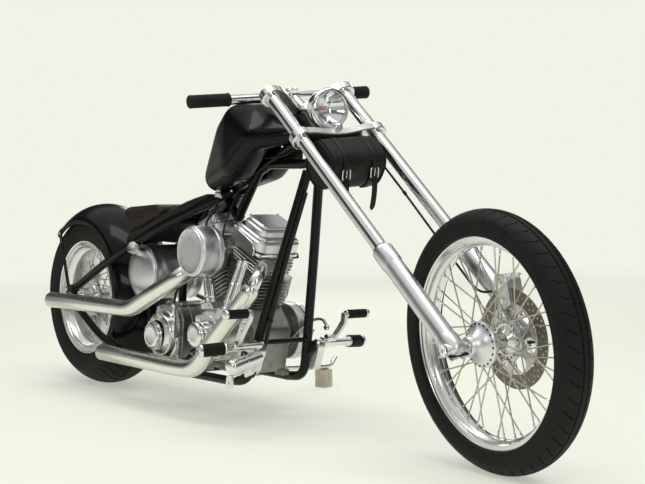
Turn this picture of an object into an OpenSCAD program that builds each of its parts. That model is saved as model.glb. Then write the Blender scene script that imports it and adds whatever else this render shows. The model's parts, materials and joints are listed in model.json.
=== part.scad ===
// Long-fork chopper motorcycle with a rigid frame, parked on its side stand.
// X points forward, Y to the bike's left and Z up. The bike is laid out upright, with the
// rear axle over X = 0 and the floor at Z = 0, then turned at the fork and leaned.

/* [Stance] */
// Lean to the left, onto the side stand
lean = 2; // [0.5:0.1:3]
// Fork turned to the right, as parked
turned = 6.5; // [0:0.5:12]
// Angle of the steering head from vertical
rake = 50.9; // [49:0.1:52]
// Steering head ahead of the rear axle
head_x = 1250; // [1240:1:1260]
// Steering head above the floor
head_z = 940; // [930:1:950]

/* [Fork] */
// Fork tubes ahead of the steering axis
fork_offset = 78; // [74:1:82]
// Fork tubes either side of the centre
fork_half = 130; // [126:1:134]
// Diameter of the fork tubes
fork_d = 41; // [39:1:43]
// Diameter of the sliders
slider_d = 60; // [56:1:62]
// Length of a slider
slider_len = 405; // [380:5:420]
// Length of the handlebar
bar_len = 642; // [600:2:680]
// Diameter of the handlebar
bar_d = 31.8; // [25.4:0.1:32]

/* [Wheels] */
// Radius of the front tyre
front_r = 348; // [344:1:350]
// Width of the front tyre
front_w = 98; // [90:1:100]
// Radius of the rear tyre
rear_r = 324; // [322:1:326]
// Width of the rear tyre
rear_w = 208; // [204:1:210]
// Spokes in each wheel
spokes = 40; // [36:4:40]
// Diameter of a spoke
spoke_d = 4; // [3:0.5:4]

/* [Frame] */
// Diameter of the backbone tube
backbone_d = 38; // [34:1:40]
// Diameter of the cradle and seat tubes
tube_d = 28; // [25:1:30]
// Rear rails either side of the centre
rail_half = 150; // [149:1:152]

/* [Engine] */
// Angle between the cylinders
vee = 45; // [42:1:48]
// Crankshaft ahead of the rear axle
crank_x = 925; // [920:1:930]
// Crankshaft above the floor
crank_z = 270; // [266:1:274]
// Number of fins on each cylinder
fins = 9; // [7:1:10]
// Diameter of the air cleaner
cleaner_d = 160; // [150:1:166]
// Diameter of the exhaust pipes
pipe_d = 57; // [54:1:60]
// Exhaust pipes outside the centre line
pipe_y = 200; // [196:1:204]
// Wall of the exhaust pipes
pipe_wall = 2.5; // [2:0.5:4]
// Radius of the oil tank
oil_r = 88; // [80:1:88]

/* [Side stand] */
// Height of the wooden block under the stand's foot
block_h = 82; // [70:1:90]
// Width of the wooden block
block_w = 46; // [40:1:60]

/* [Hidden] */

// Running clearance of a shaft in its bore
run = 0.05;
// Radius of the fine and of the swept surfaces' facets
fine = 72;
sides = 16;
// Crown radii of the tyres
front_crown = 50;
rear_crown = 130;
// Lowest points of the leaned tyres set the two axle heights
rear_axle_z = rear_r - rear_crown + rear_crown / cos(lean);
wheel_tilt = asin(sin(turned) * sin(rake) * cos(lean) - cos(turned) * sin(lean));
front_axle_h = (front_r - front_crown) * cos(wheel_tilt) + front_crown;
// Front axle along the steering axis, negative towards the floor
axle_s = ((front_axle_h - fork_offset * sin(turned) * sin(lean)) / cos(lean) - head_z
  - fork_offset * cos(turned) * sin(rake)) / cos(rake);
front_axle_x = head_x + fork_offset * cos(turned) * cos(rake) - axle_s * sin(rake);
// Steering head, clamps and bar along the steering axis
head_top = 20;
head_bottom = -150;
clamp_t = 28;
lower_s = head_bottom - 2 - clamp_t;
bar_s = 155;
bar_o = -21;
tube_top = 52;
slider_top = axle_s - 20 + slider_len;
// Engine layout
half_vee = vee / 2;
barrel_from = 105;
barrel_to = 238;
head_to = 306;
rocker_to = 408;
// Chain line, left of the rear tyre
chain_y = 127;
// Side stand
stand_pivot = [760, 168, 120];
stand_tilt = 7.5;
stand_foot = [644, 540, block_h + 9];
// Centre of the whole length and width, which the origin lies under
wheel_lead = sin(turned) * cos(rake);
front_end = front_axle_x + (front_r - front_crown) * sqrt(1 - wheel_lead * wheel_lead)
  + front_crown;
mid_x = (front_end - rear_r) / 2;
mid_y = 151.3;

// Upright bike to the parked one
module parked() translate([-mid_x, -mid_y, 0]) rotate([-lean, 0, 0]) children();
// Fork's own axes: X ahead of the steering axis, Z up along it
module on_fork()
  parked() translate([head_x, 0, head_z]) rotate([0, -rake, 0]) rotate([0, 0, -turned]) children();
module on_front_axle() on_fork() translate([fork_offset, 0, axle_s]) children();
module on_rear_axle() parked() translate([0, 0, rear_axle_z]) children();
module both_sides() {
  children();
  mirror([0, 1, 0]) children();
}
// Solid of revolution about the Y axis, from an outline of radius and Y
module turned_y() rotate([-90, 0, 0]) rotate_extrude($fn = fine) children();
// Cylinder along Y between two Y values
module disc_y(x, z, y0, y1, r, n = fine)
  translate([x, min(y0, y1), z]) rotate([-90, 0, 0]) cylinder(h = abs(y1 - y0), r = r, $fn = n);
// Cylinder between any two points
module rod(a, b, d, n = 36) {
  v = b - a;
  translate(a) rotate([0, acos(v[2] / norm(v)), atan2(v[1], v[0])])
    cylinder(h = norm(v), d = d, $fn = n);
}
// Plate from a side-view outline, between two Y values
module plate_y(y0, y1)
  translate([0, max(y0, y1), 0]) rotate([90, 0, 0]) linear_extrude(abs(y1 - y0)) children();

// Route with its corners rounded, each bend starting "cut" before its corner
function toward(a, b, d) = a + (b - a) * min(0.48, d / norm(b - a));
function bend(a, b, c, d, n = 5) = let (p = toward(b, a, d), q = toward(b, c, d))
  [for (i = [0:n]) let (t = i / n) (1 - t) * (1 - t) * p + 2 * t * (1 - t) * b + t * t * q];
function rounded(route, cut) = let (last = len(route) - 1) concat([route[0]],
  [for (i = [1:1:last - 1]) each bend(route[i - 1], route[i], route[i + 1], cut)], [route[last]]);
function unit(v) = v / norm(v);
function heading(p, i) = unit(p[min(i + 1, len(p) - 1)] - p[max(i - 1, 0)]);
// Round tube swept along a route; "across" is any direction the route never follows
module swept(p, d, n = sides, across = [0, 1, 0]) {
  rings = [for (i = [0:len(p) - 1]) let (t = heading(p, i), u = unit(cross(t, across)), v = cross(t, u))
    for (k = [0:n - 1]) p[i] + d / 2 * (cos(360 * k / n) * u + sin(360 * k / n) * v)];
  polyhedron(rings, concat(
    [[for (k = [0:n - 1]) k]],
    [for (i = [0:len(p) - 2], k = [0:n - 1]) let (a = i * n + k, b = i * n + (k + 1) % n)
      [a, a + n, b + n, b]],
    [[for (k = [n - 1:-1:0]) (len(p) - 1) * n + k]]));
}
module pipe(route, d, cut = 60, n = sides, across = [0, 1, 0])
  swept(rounded(route, cut), d, n, across);

// ---- Frame ----

backbone = rounded([[1268, 0, 902], [855, 0, 732], [696, 0, 674]], 40);
seat_rail = rounded([[876, 14, 726], [791, 58, 684], [579, 100, 606], [420, 124, 540],
  [250, 146, 462], [22, rail_half, 356]], 60);
module frame_backbone() color("#0c0c0d") {
  difference() {
    union() {
      on_head() translate([0, 0, head_bottom])
        cylinder(h = head_top - head_bottom, d = 54, $fn = fine);
      parked() swept(backbone, backbone_d);
    }
    on_head() translate([0, 0, head_bottom - 1])
      cylinder(h = head_top - head_bottom + 2, r = 16 + run, $fn = fine);
  }
  parked() {
    pipe([[1318, 0, 836], [1270, 0, 812], [1050, 0, 812], [1003, 0, 790], [884, 0, 636]],
      tube_d + 2, 40);
    pipe([[812, 0, 712], [886, 0, 634]], tube_d, 20);
    plate_y(-3, 3) polygon([[1040, 806], [1085, 806], [1062, 818], [1015, 792]]);
    plate_y(-3, 3) polygon([[1130, 815], [1235, 815], [1235, 872], [1180, 858]]);
  }
}
// Steering head's axes on the upright bike: X ahead of the axis, Z up along it
module at_head() translate([head_x, 0, head_z]) rotate([0, -rake, 0]) children();
module on_head() parked() at_head() children();

downtube = [[1294, 22, 790], [1218, 60, 525], [1130, 100, 225], [1085, 108, 150]];
module frame_downtubes() color("#0c0c0d") parked() {
  both_sides() pipe([downtube[0], downtube[1], downtube[2], [1108, 106, 140], [1005, 112, 130]],
    tube_d + 2, 60);
  pipe([[1150, 84, 262], [1150, -84, 262]], 16, 10, 12, [1, 0, 0]);
  plate_y(92, 104) polygon([[1120, 190], [1166, 226], [1160, 262], [1125, 235]]);
  plate_y(-104, -92) polygon([[1120, 190], [1166, 226], [1160, 262], [1125, 235]]);
}

// Lower rail of one side, with its axle plate
module lower_rail(s) parked() scale([1, s, 1]) {
  pipe([[1012, 112, 130], [700, 118, 128], [420, 130, 140], [235, 149, 196],
    [22, rail_half, 305]], tube_d, 70);
  difference() {
    plate_y(rail_half - 5, rail_half + 5)
      polygon([[-36, 352], [-14, 372], [30, 372], [52, 300], [20, 284], [-36, 300]]);
    disc_y(0, rear_axle_z, rail_half - 6, rail_half + 6, 12.5);
  }
}
module frame_right_rail() color("#0c0c0d") lower_rail(-1);
module frame_left_rail() color("#0c0c0d") lower_rail(1);
module frame_cross_tubes() color("#0c0c0d") parked() {
  pipe([[700, 105, 128], [700, -105, 128]], 22, 10, 12, [1, 0, 0]);
  pipe([[450, 116, 140], [450, -116, 140]], 22, 10, 12, [1, 0, 0]);
}

module frame_seat_rails() color("#0c0c0d") parked() {
  both_sides() swept(seat_rail, tube_d);
  pipe([[640, 84, 622], [640, -84, 622]], 22, 10, 12, [1, 0, 0]);
  pipe([[372, 125, 521], [372, -125, 521]], 22, 10, 12, [1, 0, 0]);
  // Seat post, down to the transmission
  pipe([[704, 0, 674], [600, 0, 560], [545, 0, 440], [535, 0, 300], [535, 0, 136]], tube_d, 60);
}

module rear_axle() color("#c8c9c8") on_rear_axle() {
  difference() {
    disc_y(0, 0, -164, 164, 12.5);
    disc_y(0, 0, -165, 165, 6);
  }
  for (s = [-1, 1]) difference() {
    disc_y(0, 0, s * (rail_half + 5.2), s * 164, 19, 6);
    disc_y(0, 0, s * (rail_half + 4), s * 165, 12.5);
  }
}

// ---- Tank, seat and rear fender ----

module balls(list) for (b = list, s = [-1, 1])
  translate([b[0], s * b[1], b[2]]) sphere(r = b[3], $fn = 32);
module fuel_tank() color("#08080a") parked() difference() {
  union() {
    hull() balls([[834, 40, 771, 48], [884, 30, 912, 48], [930, 26, 950, 54], [1042, 26, 950, 50],
      [975, 72, 808, 46], [1090, 76, 894, 40]]);
    hull() balls([[1090, 76, 894, 40], [1045, 26, 945, 50], [1196, 22, 902, 30]]);
    translate([955, 0, 1000]) cylinder(h = 12, r = 34, $fn = fine);
  }
  // Tunnel over the backbone, the second tube and the steering head
  translate([760, -24, 600]) rotate([0, -22.6, 0]) cube([640, 48, 148]);
  translate([1000, -20, 700]) cube([300, 40, 132]);
  at_head() translate([-1, 0, head_bottom]) cylinder(h = 260, r = 36, $fn = fine);
}
module seat_pad() color("#17120f") parked() difference() {
  hull() balls([[776, 58, 704, 11], [690, 84, 672, 11], [560, 106, 626, 11], [362, 112, 552, 11]]);
  // Grooves over the backbone and the rails
  swept(backbone, backbone_d + 0.6);
  both_sides() swept(seat_rail, tube_d + 0.6);
}
module rear_pad() color("#2a1a12") parked()
  hull() balls([[330, 76, 593, 18], [294, 72, 640, 18], [482, 74, 652, 18], [524, 84, 650, 12]]);

// Fender section: radius outward, Y across
module fender_section(r, half, t, skirt) difference() {
  intersection() {
    translate([r - skirt, -half]) square([skirt, 2 * half]);
    translate([r - 145, 0]) circle(r = 145, $fn = fine);
  }
  intersection() {
    translate([r - skirt - 1, -half + t]) square([skirt + 1 - t, 2 * half - 2 * t]);
    translate([r - 145, 0]) circle(r = 145 - t, $fn = fine);
  }
}
module rear_fender() color("#0a0a0b") on_rear_axle() rotate([90, 0, 0])
  rotate([0, 0, -38]) rotate_extrude(angle = 166, $fn = fine) fender_section(346, 116, 3, 72);
module fender_strut() color("#0c0c0d") parked() both_sides()
  pipe([[-146, 122.5, 560], [-120, 132, 530], [-28, 148, 362], [-22, 148, 350]], 12, 20, 12);

module oil_tank() color("#6c6e70") parked() {
  translate([430, 0, 440]) rotate([90, 0, 0]) rotate_extrude($fn = fine)
    polygon([[0, -118], [34, -116], [64, -109], [oil_r - 4, -98], [oil_r, -88], [oil_r, 88],
      [oil_r - 4, 98], [64, 109], [34, 116], [0, 118]]);
  // Filler neck and cap
  rod([428, -96, 500], [444, -142, 526], 24);
  rod([443, -140, 525], [450, -160, 537], 38);
}

// ---- Engine ----

// Axes of one cylinder: Z up its bore from the crankshaft
module on_cylinder(front) parked() translate([crank_x, 0, crank_z])
  rotate([0, front ? half_vee : -half_vee, 0]) children();
module finned_barrel(front) difference() {
  union() {
    translate([0, 0, barrel_from]) cylinder(h = barrel_to - barrel_from, r = 56, $fn = fine);
    pitch = (barrel_to - barrel_from - 20) / fins;
    for (i = [0:fins - 1]) translate([0, 0, barrel_from + 14 + i * pitch])
      linear_extrude(pitch * 0.4) intersection() {
        translate([-80, -74]) square([160, 160]);
        circle(r = 100, $fn = fine);
      }
  }
  // Fins cut off where the two cylinders meet
  rotate([0, front ? -half_vee : half_vee, 0])
    translate([front ? -199.4 : -0.6, -100, 0]) cube([200, 200, 260]);
}
module cylinder_head() {
  translate([-76, -72, barrel_to]) cube([152, 144, head_to - barrel_to]);
  translate([-86, -84, head_to]) cube([170, 164, 52]);
  translate([-60, -70, head_to + 52]) cube([122, 140, rocker_to - head_to - 52]);
}
module front_cylinder() color("#b9babb") on_cylinder(true) finned_barrel(true);
module rear_cylinder() color("#b9babb") on_cylinder(false) finned_barrel(false);
module front_head() color("#a9abad") on_cylinder(true) cylinder_head();
module rear_head() color("#a9abad") on_cylinder(false) mirror([1, 0, 0]) cylinder_head();

module crankcase() color("#a5a6a8") parked() difference() {
  union() {
    disc_y(crank_x, crank_z, -92, 92, 122);
    plate_y(-70, 70) polygon([[790, 152], [1060, 152], [1092, 300], [1010, 385], [925, 372],
      [840, 385], [775, 300]]);
    plate_y(-98, -60) polygon([[860, 172], [1040, 186], [1052, 300], [1000, 372], [870, 352]]);
  }
  for (front = [true, false]) translate([crank_x, 0, crank_z])
    rotate([0, front ? half_vee : -half_vee, 0])
    translate([0, 0, barrel_from]) cylinder(h = 60, r = 80, $fn = fine);
}

module cam_cover() color("#c6c8ca") parked() {
  plate_y(-150, -98) polygon([[872, 196], [1000, 190], [1048, 262], [1030, 322], [985, 352],
    [905, 346], [868, 300]]);
  disc_y(938, 272, -156, -148, 62);
  disc_y(938, 272, -204, -155, 42);
}

module pushrod_tubes() color("#d8dadb") parked() {
  for (x = [0, 30]) {
    rod([1008 + x * 0.7, -132 + x * 0.3, 356], [1050 + x, -98, 512], 16);
    rod([1003 + x * 0.7, -134 + x * 0.3, 336], [1012 + x * 0.7, -128 + x * 0.3, 372], 26);
    rod([905 + x, -126, 372], [832 + x, -98, 500], 16);
    rod([918 + x, -130, 348], [892 + x, -120, 396], 26);
  }
  // Lifter blocks on the crankcase
  plate_y(-152, -98.2) polygon([[986, 322], [1036, 316], [1052, 346], [996, 362]]);
  plate_y(-152, -98.2) polygon([[904, 347], [972, 356], [955, 376], [896, 368]]);
}

module carburettor() color("#5b5d60") parked() {
  disc_y(crank_x + 4, 536, -90, -20, 17);
  translate([898, -130, 484]) cube([62, 44, 84]);
  disc_y(940, 530, -146, -129, 30);
}
module air_cleaner() color("#d2d3d3") parked() difference() {
  union() {
    disc_y(958, 537, -226, -146.5, cleaner_d / 2);
    disc_y(958, 537, -232, -225, cleaner_d / 2 - 6);
  }
  // Hollow behind the face, round the filter's core
  difference() {
    disc_y(958, 537, -222, -140, cleaner_d / 2 - 5);
    disc_y(958, 537, -223, -139, 44);
  }
}

module transmission() color("#9a9c9e") parked() {
  plate_y(-118, 104) polygon([[556, 168], [706, 162], [716, 300], [690, 340], [570, 340],
    [552, 290]]);
  disc_y(632, 245, -150, -117, 74);
  disc_y(623, 240, -176, -149, 46);
  // Clamp and cap above the cover
  rod([712, -138, 250], [712, -138, 352], 16);
  plate_y(-146, -117) polygon([[690, 236], [724, 236], [724, 264], [690, 264]]);
}
module primary_cover() color("#c2c4c6") parked() {
  for (p = [[crank_x + 20, 92], [625, 104]]) disc_y(p[0], 268, 140, 208, p[1]);
  plate_y(140, 204) polygon([[625, 372], [945, 360], [945, 176], [625, 164]]);
  disc_y(625, 268, 206, 218, 70);
  disc_y(crank_x + 20, 268, 92.2, 141, 60);
}

// ---- Exhaust ----

header_front = [[1098, -50, 492], [1158, -94, 494], [1206, -142, 462], [1182, -158, 412]];
header_rear = [[770, -72, 500], [774, -118, 490], [800, -152, 446], [675, -192, 386],
  [540, -pipe_y, 325], [-60, -pipe_y, 314]];
down_front = [[1190, -155, 432], [1182, -158, 412], [1028, -183, 262], [945, -192, 163],
  [840, -pipe_y, 159], [335, -pipe_y, 159]];
// Route of a pipe's bore: from its point i on, and out through its end
function bore(p, i) = concat([for (k = [i:1:len(p) - 1]) p[k]],
  [p[len(p) - 1] + 4 * heading(p, len(p) - 1)]);
module front_exhaust() color("#cfcdc8") parked() difference() {
  union() {
    pipe(header_front, 40, 36);
    swept(rounded(down_front, 60), pipe_d, 20);
  }
  swept(bore(rounded(down_front, 60), 1), pipe_d - 2 * pipe_wall, 20);
}
module rear_exhaust() color("#cfcdc8") parked() difference() {
  pipe(header_rear, pipe_d, 40, 20);
  // Bored in straight runs
  rod([672, -192, 384.6], [556, -199, 332.2], 46, 13);
  rod([566, -pipe_y, 325.5], [-64, -pipe_y, 313.9], pipe_d - 2 * pipe_wall);
}

// ---- Drive ----

module drive_chain() color("#3a3936") parked() {
  front_c = [640, 258];
  rear_c = [0, rear_axle_z];
  front_rr = 50;
  rear_rr = 112;
  plate_y(chain_y - 6, chain_y + 6) difference() {
    belt_outline(front_c, front_rr + 7, rear_c, rear_rr + 7);
    belt_outline(front_c, front_rr - 7, rear_c, rear_rr - 7);
  }
  // Output sprocket and its shaft
  disc_y(front_c[0], front_c[1], chain_y - 4, chain_y + 4, front_rr - 4);
  disc_y(front_c[0], front_c[1], 104.2, chain_y, 18);
}
module belt_outline(a, ra, b, rb) {
  // Tangent line angle from the line of centres
  d = b - a;
  base = atan2(d[1], d[0]);
  tangent = acos((ra - rb) / norm(d));
  translate(a) circle(r = ra, $fn = fine);
  translate(b) circle(r = rb, $fn = fine);
  polygon([for (k = [[a, ra, 1], [b, rb, 1], [b, rb, -1], [a, ra, -1]])
    k[0] + k[1] * [cos(base + k[2] * tangent), sin(base + k[2] * tangent)]]);
}
module rear_caliper() color("#2b2c2e") parked() {
  difference() {
    translate([118, chain_y, 330]) cube([58, 40, 72], center = true);
    disc_y(0, rear_axle_z, chain_y - 6, chain_y + 6, 111);
  }
  // Arm to the axle plate
  plate_y(148, 154) polygon([[40, 330], [140, 318], [140, 342], [40, 352]]);
  rod([128, 146, 330], [128, 149, 330], 18);
}

// ---- Foot controls ----

module right_foot_control() color("#c9cbcc") parked() {
  plate_y(-132, -104.2) polygon([[1120, 150], [1166, 168], [1206, 236], [1190, 276], [1158, 262],
    [1128, 200]]);
  rod([1180, -130, 256], [1176, -236, 255], 26);
  rod([1176, -235, 255], [1148, -311, 248], 40);
  // Brake master cylinder below the peg
  rod([1206, -132, 226], [1244, -268, 203], 46);
  plate_y(-140, -124) polygon([[1170, 176], [1205, 180], [1220, 222], [1188, 236]]);
}
module left_foot_control() color("#c9cbcc") parked() {
  plate_y(104.2, 130) polygon([[1120, 158], [1166, 168], [1192, 236], [1184, 266], [1156, 262],
    [1128, 200]]);
  rod([1172, 128, 250], [1168, 236, 250], 26);
  rod([1168, 235, 250], [1140, 312, 244], 40);
}
module brake_pedal() color("#c9cbcc") parked() {
  plate_y(-226, -214) polygon([[1200, 262], [1222, 258], [1262, 310], [1296, 352], [1294, 378],
    [1276, 380], [1236, 326]]);
  disc_y(1211, 262, -226, -132.2, 11);
  disc_y(1286, 368, -312, -214, 14);
}
module shift_lever() color("#8f9193") parked() {
  plate_y(150, 164) polygon([[1180, 262], [1206, 262], [1262, 318], [1264, 352], [1240, 352],
    [1240, 328]]);
  disc_y(1193, 268, 130.2, 164, 12);
  disc_y(1252, 346, 150, 248, 14);
}

// Wire sleeve clipped in front of the right downtube
loom = [[1299, -31, 726], [1243, -60, 525], [1184, -80, 320], [1164, -84, 248], [1118, -88, 166]];
module wiring_loom() color("#101011") parked() pipe(loom, 13, 30, 8);

// ---- Side stand ----

// Axis leans outward, so the leg rises as it folds back
module stand_axis() parked() translate(stand_pivot) rotate([-stand_tilt, 0, 0]) children();
module side_stand() color("#c2c1bd") {
  stand_axis() difference() {
    translate([0, 0, -11]) cylinder(h = 22, r = 19, $fn = fine);
    translate([0, 0, -12]) cylinder(h = 24, r = 8 + run, $fn = fine);
  }
  parked() {
    root = stand_pivot + 14 * unit(stand_foot - stand_pivot);
    pipe([root, stand_foot + [12, -40, 3], stand_foot, stand_foot + [-12, 34, 2],
      stand_foot + [-20, 62, 30]], 17, 16, 16, [0, 0, 1]);
  }
}
module stand_block() color("#b9a98c") {
  // Timber under the foot, standing on the floor
  foot = [stand_foot[0], stand_foot[1] * cos(lean) + stand_foot[2] * sin(lean)];
  top = -stand_foot[1] * sin(lean) + stand_foot[2] * cos(lean) - 9.2;
  translate([foot[0] - mid_x, foot[1] - mid_y - 8, 0]) rotate([0, 0, 14])
    translate([-block_w / 2, -block_w / 2, 0]) cube([block_w, block_w, top]);
  // Pivot tab on the left rail, with its pin
  stand_axis() {
    cylinder(h = 40, r = 8, center = true, $fn = fine);
    for (s = [-1, 1]) translate([0, 0, s * 15]) difference() {
      translate([-17, -56, -3.5]) cube([34, 73, 7]);
    }
  }
}

// ---- Fork, bar, lamp and bag ----

module clamp_plate(z0, t, boss) translate([0, 0, z0]) linear_extrude(t) {
  circle(r = boss, $fn = fine);
  for (s = [-1, 1]) {
    translate([fork_offset, s * fork_half]) circle(r = 33, $fn = fine);
    polygon([[-boss * 0.7, s * 12], [boss, 0], [fork_offset + 22, s * (fork_half - 24)],
      [fork_offset - 28, s * (fork_half - 16)]]);
  }
}
module fork_bores(z0, t) for (s = [-1, 1]) translate([fork_offset, s * fork_half, z0 - 1])
  cylinder(h = t + 2, d = fork_d, $fn = fine);
module upper_clamp() color("#c9cbcc") on_fork() {
  difference() {
    clamp_plate(head_top + 2, clamp_t, 32);
    fork_bores(head_top + 2, clamp_t);
  }
  // Risers that hold the handlebar behind the steering axis
  difference() {
    for (s = [-1, 1]) {
      rod([-4, s * 40, head_top + clamp_t - 4], [bar_o, s * 40, bar_s], 30);
      translate([bar_o, s * 40 - 16, bar_s]) rotate([-90, 0, 0]) cylinder(h = 32, r = 26, $fn = fine);
    }
    translate([bar_o, -80, bar_s]) rotate([-90, 0, 0]) cylinder(h = 160, d = bar_d, $fn = fine);
  }
}
module lower_clamp() color("#c9cbcc") on_fork() {
  difference() {
    union() {
      clamp_plate(lower_s, clamp_t, 34);
      // Straight front between the rings
      translate([0, 0, lower_s]) linear_extrude(clamp_t) polygon([[-10, -30], [fork_offset - 28, -112],
        [fork_offset + 20, -106], [98, -50], [98, 50], [fork_offset + 20, 106], [fork_offset - 28, 112],
        [-10, 30]]);
    }
    fork_bores(lower_s, clamp_t);
  }
  // Stem in the steering head
  translate([0, 0, lower_s + 2]) cylinder(h = head_top - lower_s, r = 16, $fn = fine);
}
module fork_tubes() color("#dcdedf") on_fork() for (s = [-1, 1])
  translate([fork_offset, s * fork_half, slider_top - 110])
  cylinder(h = tube_top - slider_top + 110, d = fork_d, $fn = fine);
module fork_sliders() color("#b4b6b8") on_fork() for (s = [-1, 1])
  translate([fork_offset, s * fork_half, 0]) difference() {
    translate([0, 0, axle_s - 20]) cylinder(h = slider_len, d = slider_d, $fn = fine);
    translate([0, 0, slider_top - 110]) cylinder(h = 111, d = fork_d, $fn = fine);
    translate([0, -60, axle_s]) rotate([-90, 0, 0]) cylinder(h = 120, r = 10, $fn = fine);
  }
module handlebar() color("#dfe0e0") on_fork() translate([bar_o, -bar_len / 2, bar_s])
  rotate([-90, 0, 0]) cylinder(h = bar_len, d = bar_d, $fn = fine);
module grips() color("#161616") on_fork() for (s = [0, 1]) mirror([0, s, 0])
  translate([bar_o, bar_len / 2 - 134, bar_s]) rotate([-90, 0, 0]) difference() {
    cylinder(h = 136, r = 20.5, $fn = fine);
    translate([0, 0, -1]) cylinder(h = 135, d = bar_d, $fn = fine);
  }

// Lamp axes: Z forward along its beam
lamp_o = 121;
lamp_s = -93;
module on_lamp() on_fork() translate([lamp_o, 0, lamp_s]) rotate([0, rake + 90, 0]) children();
module headlight() color("#c4c6c8") {
  on_lamp() difference() {
    rotate_extrude($fn = fine) polygon([[0, -78], [22, -78], [44, -66], [57, -44], [57, -16], [63, -14],
      [63, 0], [50, 3], [50, -8], [30, -34], [0, -44]]);
  }
  on_fork() translate([82, -12, lower_s + clamp_t - 2]) cube([26, 24, 22]);
}
module headlight_lens() color("#dfe6e8", 0.5) on_lamp()
  rotate_extrude($fn = fine) polygon([[0, 8], [25, 6], [49.8, 0], [49.8, -4], [0, -1]]);

module tool_bag() color("#15110f") on_fork() {
  translate([44, -107, lower_s - 70]) rotate([-90, 0, 0]) cylinder(h = 214, r = 68, $fn = fine);
  translate([18, -100, lower_s - 24]) cube([52, 200, 23.7]);
}

module front_axle() color("#d5d6d6") on_front_axle() {
  difference() {
    disc_y(0, 0, -168, 168, 10);
    disc_y(0, 0, -169, 169, 5);
  }
  for (s = [-1, 1]) difference() {
    disc_y(0, 0, s * 100, s * (s > 0 ? 71 : 64), 15);
    disc_y(0, 0, s * 101, s * 63, 10);
  }
}
module front_caliper() color("#9b9da0") on_front_axle() difference() {
  translate([82, 78, 96]) rotate([0, 40, 0]) cube([52, 56, 96], center = true);
  disc_y(0, 0, 58, 76, 160);
}
hose = [[132, 90, -888], [96, 88, -880], [52, 92, -830], [48, 98, -700], [40, 114, -400],
  [36, 118, -240], [30, 112, -186], [24, 96, -120], [26, 70, -20], [22, 60, 18]];
module brake_hose() color("#141414") on_fork() pipe(hose, 7, 30, 8);

// ---- Wheels ----

module tyre_section(r, crown, half, widest, side_r, bead_r, flange_r, bead_half) intersection() {
  translate([r - crown, 0]) circle(r = crown, $fn = fine);
  intersection_for(s = [-1, 1]) translate([widest, s * (half - side_r)]) circle(r = side_r, $fn = fine);
  union() {
    translate([flange_r + 1, -half - 1]) square([r, 2 * half + 2]);
    translate([bead_r, -bead_half]) square([flange_r + 2 - bead_r, 2 * bead_half]);
  }
}
function reversed(list) = [for (i = [len(list) - 1:-1:0]) list[i]];
function flipped(list) = [for (p = list) [p[0], -p[1]]];
// Ring between an outer and an inner line, each given from its edge to its middle
module rim_ring(outer, inner) turned_y()
  polygon(concat(outer, reversed(flipped(outer)), flipped(inner), reversed(inner)));
// Laced spokes, alternately to each hub flange and crossing both ways
module laced(hub_r, hub_y, rim_r, rim_y, sweep) for (k = [0:spokes - 1]) {
  side = k % 2 == 0 ? 1 : -1;
  way = floor(k / 2) % 2 == 0 ? 1 : -1;
  a = 360 * k / spokes;
  b = a + way * sweep;
  rod([hub_r * cos(b), side * hub_y + way * 5, hub_r * sin(b)],
    [rim_r * cos(a), side * rim_y + way * 3, rim_r * sin(a)], spoke_d, 13);
}

front_flange_r = 280;
rear_flange_r = 208;
module front_tyre() color("#1b1b1c") on_front_axle()
  turned_y() tyre_section(front_r, front_crown, front_w / 2, 300, 70, 267, front_flange_r, 29);
module front_rim() color("#cdcfd0") on_front_axle()
  rim_ring([[front_flange_r, 33], [front_flange_r, 29], [267, 29], [267, 19], [258, 11]],
    [[264, 33], [261, 24], [253, 13]]);
module front_spokes() color("#a39a8c") on_front_axle() laced(45, 42, 255, 4, 52);
module front_hub() color("#c9cbcc") on_front_axle() turned_y() polygon([[10 + run, -62], [22, -62],
  [30, -56], [34, -48], [50, -46], [50, -38], [24, -28], [22, 0], [24, 28], [50, 38], [50, 46],
  [34, 48], [34, 69], [10 + run, 69]]);
module front_disc() color("#4a4641") on_front_axle() difference() {
  disc_y(0, 0, 64, 69, 145);
  disc_y(0, 0, 63, 70, 30);
  for (a = [0:60:300]) disc_y(88 * cos(a), 88 * sin(a), 63, 70, 24);
}

module rear_tyre() color("#1b1b1c") on_rear_axle()
  turned_y() tyre_section(rear_r, rear_crown, rear_w / 2, 262, 150, 191, rear_flange_r, 90);
module rear_rim() color("#cdcfd0") on_rear_axle()
  rim_ring([[rear_flange_r, 94], [rear_flange_r, 90], [191, 90], [191, 74], [178, 60]],
    [[188, 94], [186, 78], [173, 62]]);
module rear_spokes() color("#a39a8c") on_rear_axle() laced(62, 66, 175, 12, 46);
module rear_hub() color("#c9cbcc") on_rear_axle() turned_y() polygon([[12.5 + run, -112], [26, -112],
  [30, -78], [68, -72], [68, -62], [34, -54], [34, 54], [68, 62], [68, 72], [46, 78], [46, 123],
  [12.5 + run, 123]]);
module rear_sprocket() color("#54514c") on_rear_axle() difference() {
  disc_y(0, 0, chain_y - 4, chain_y + 4, 104.5);
  disc_y(0, 0, chain_y - 5, chain_y + 5, 12.5 + 2);
  for (a = [30:60:330]) disc_y(66 * cos(a), 66 * sin(a), chain_y - 5, chain_y + 5, 20);
}

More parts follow.
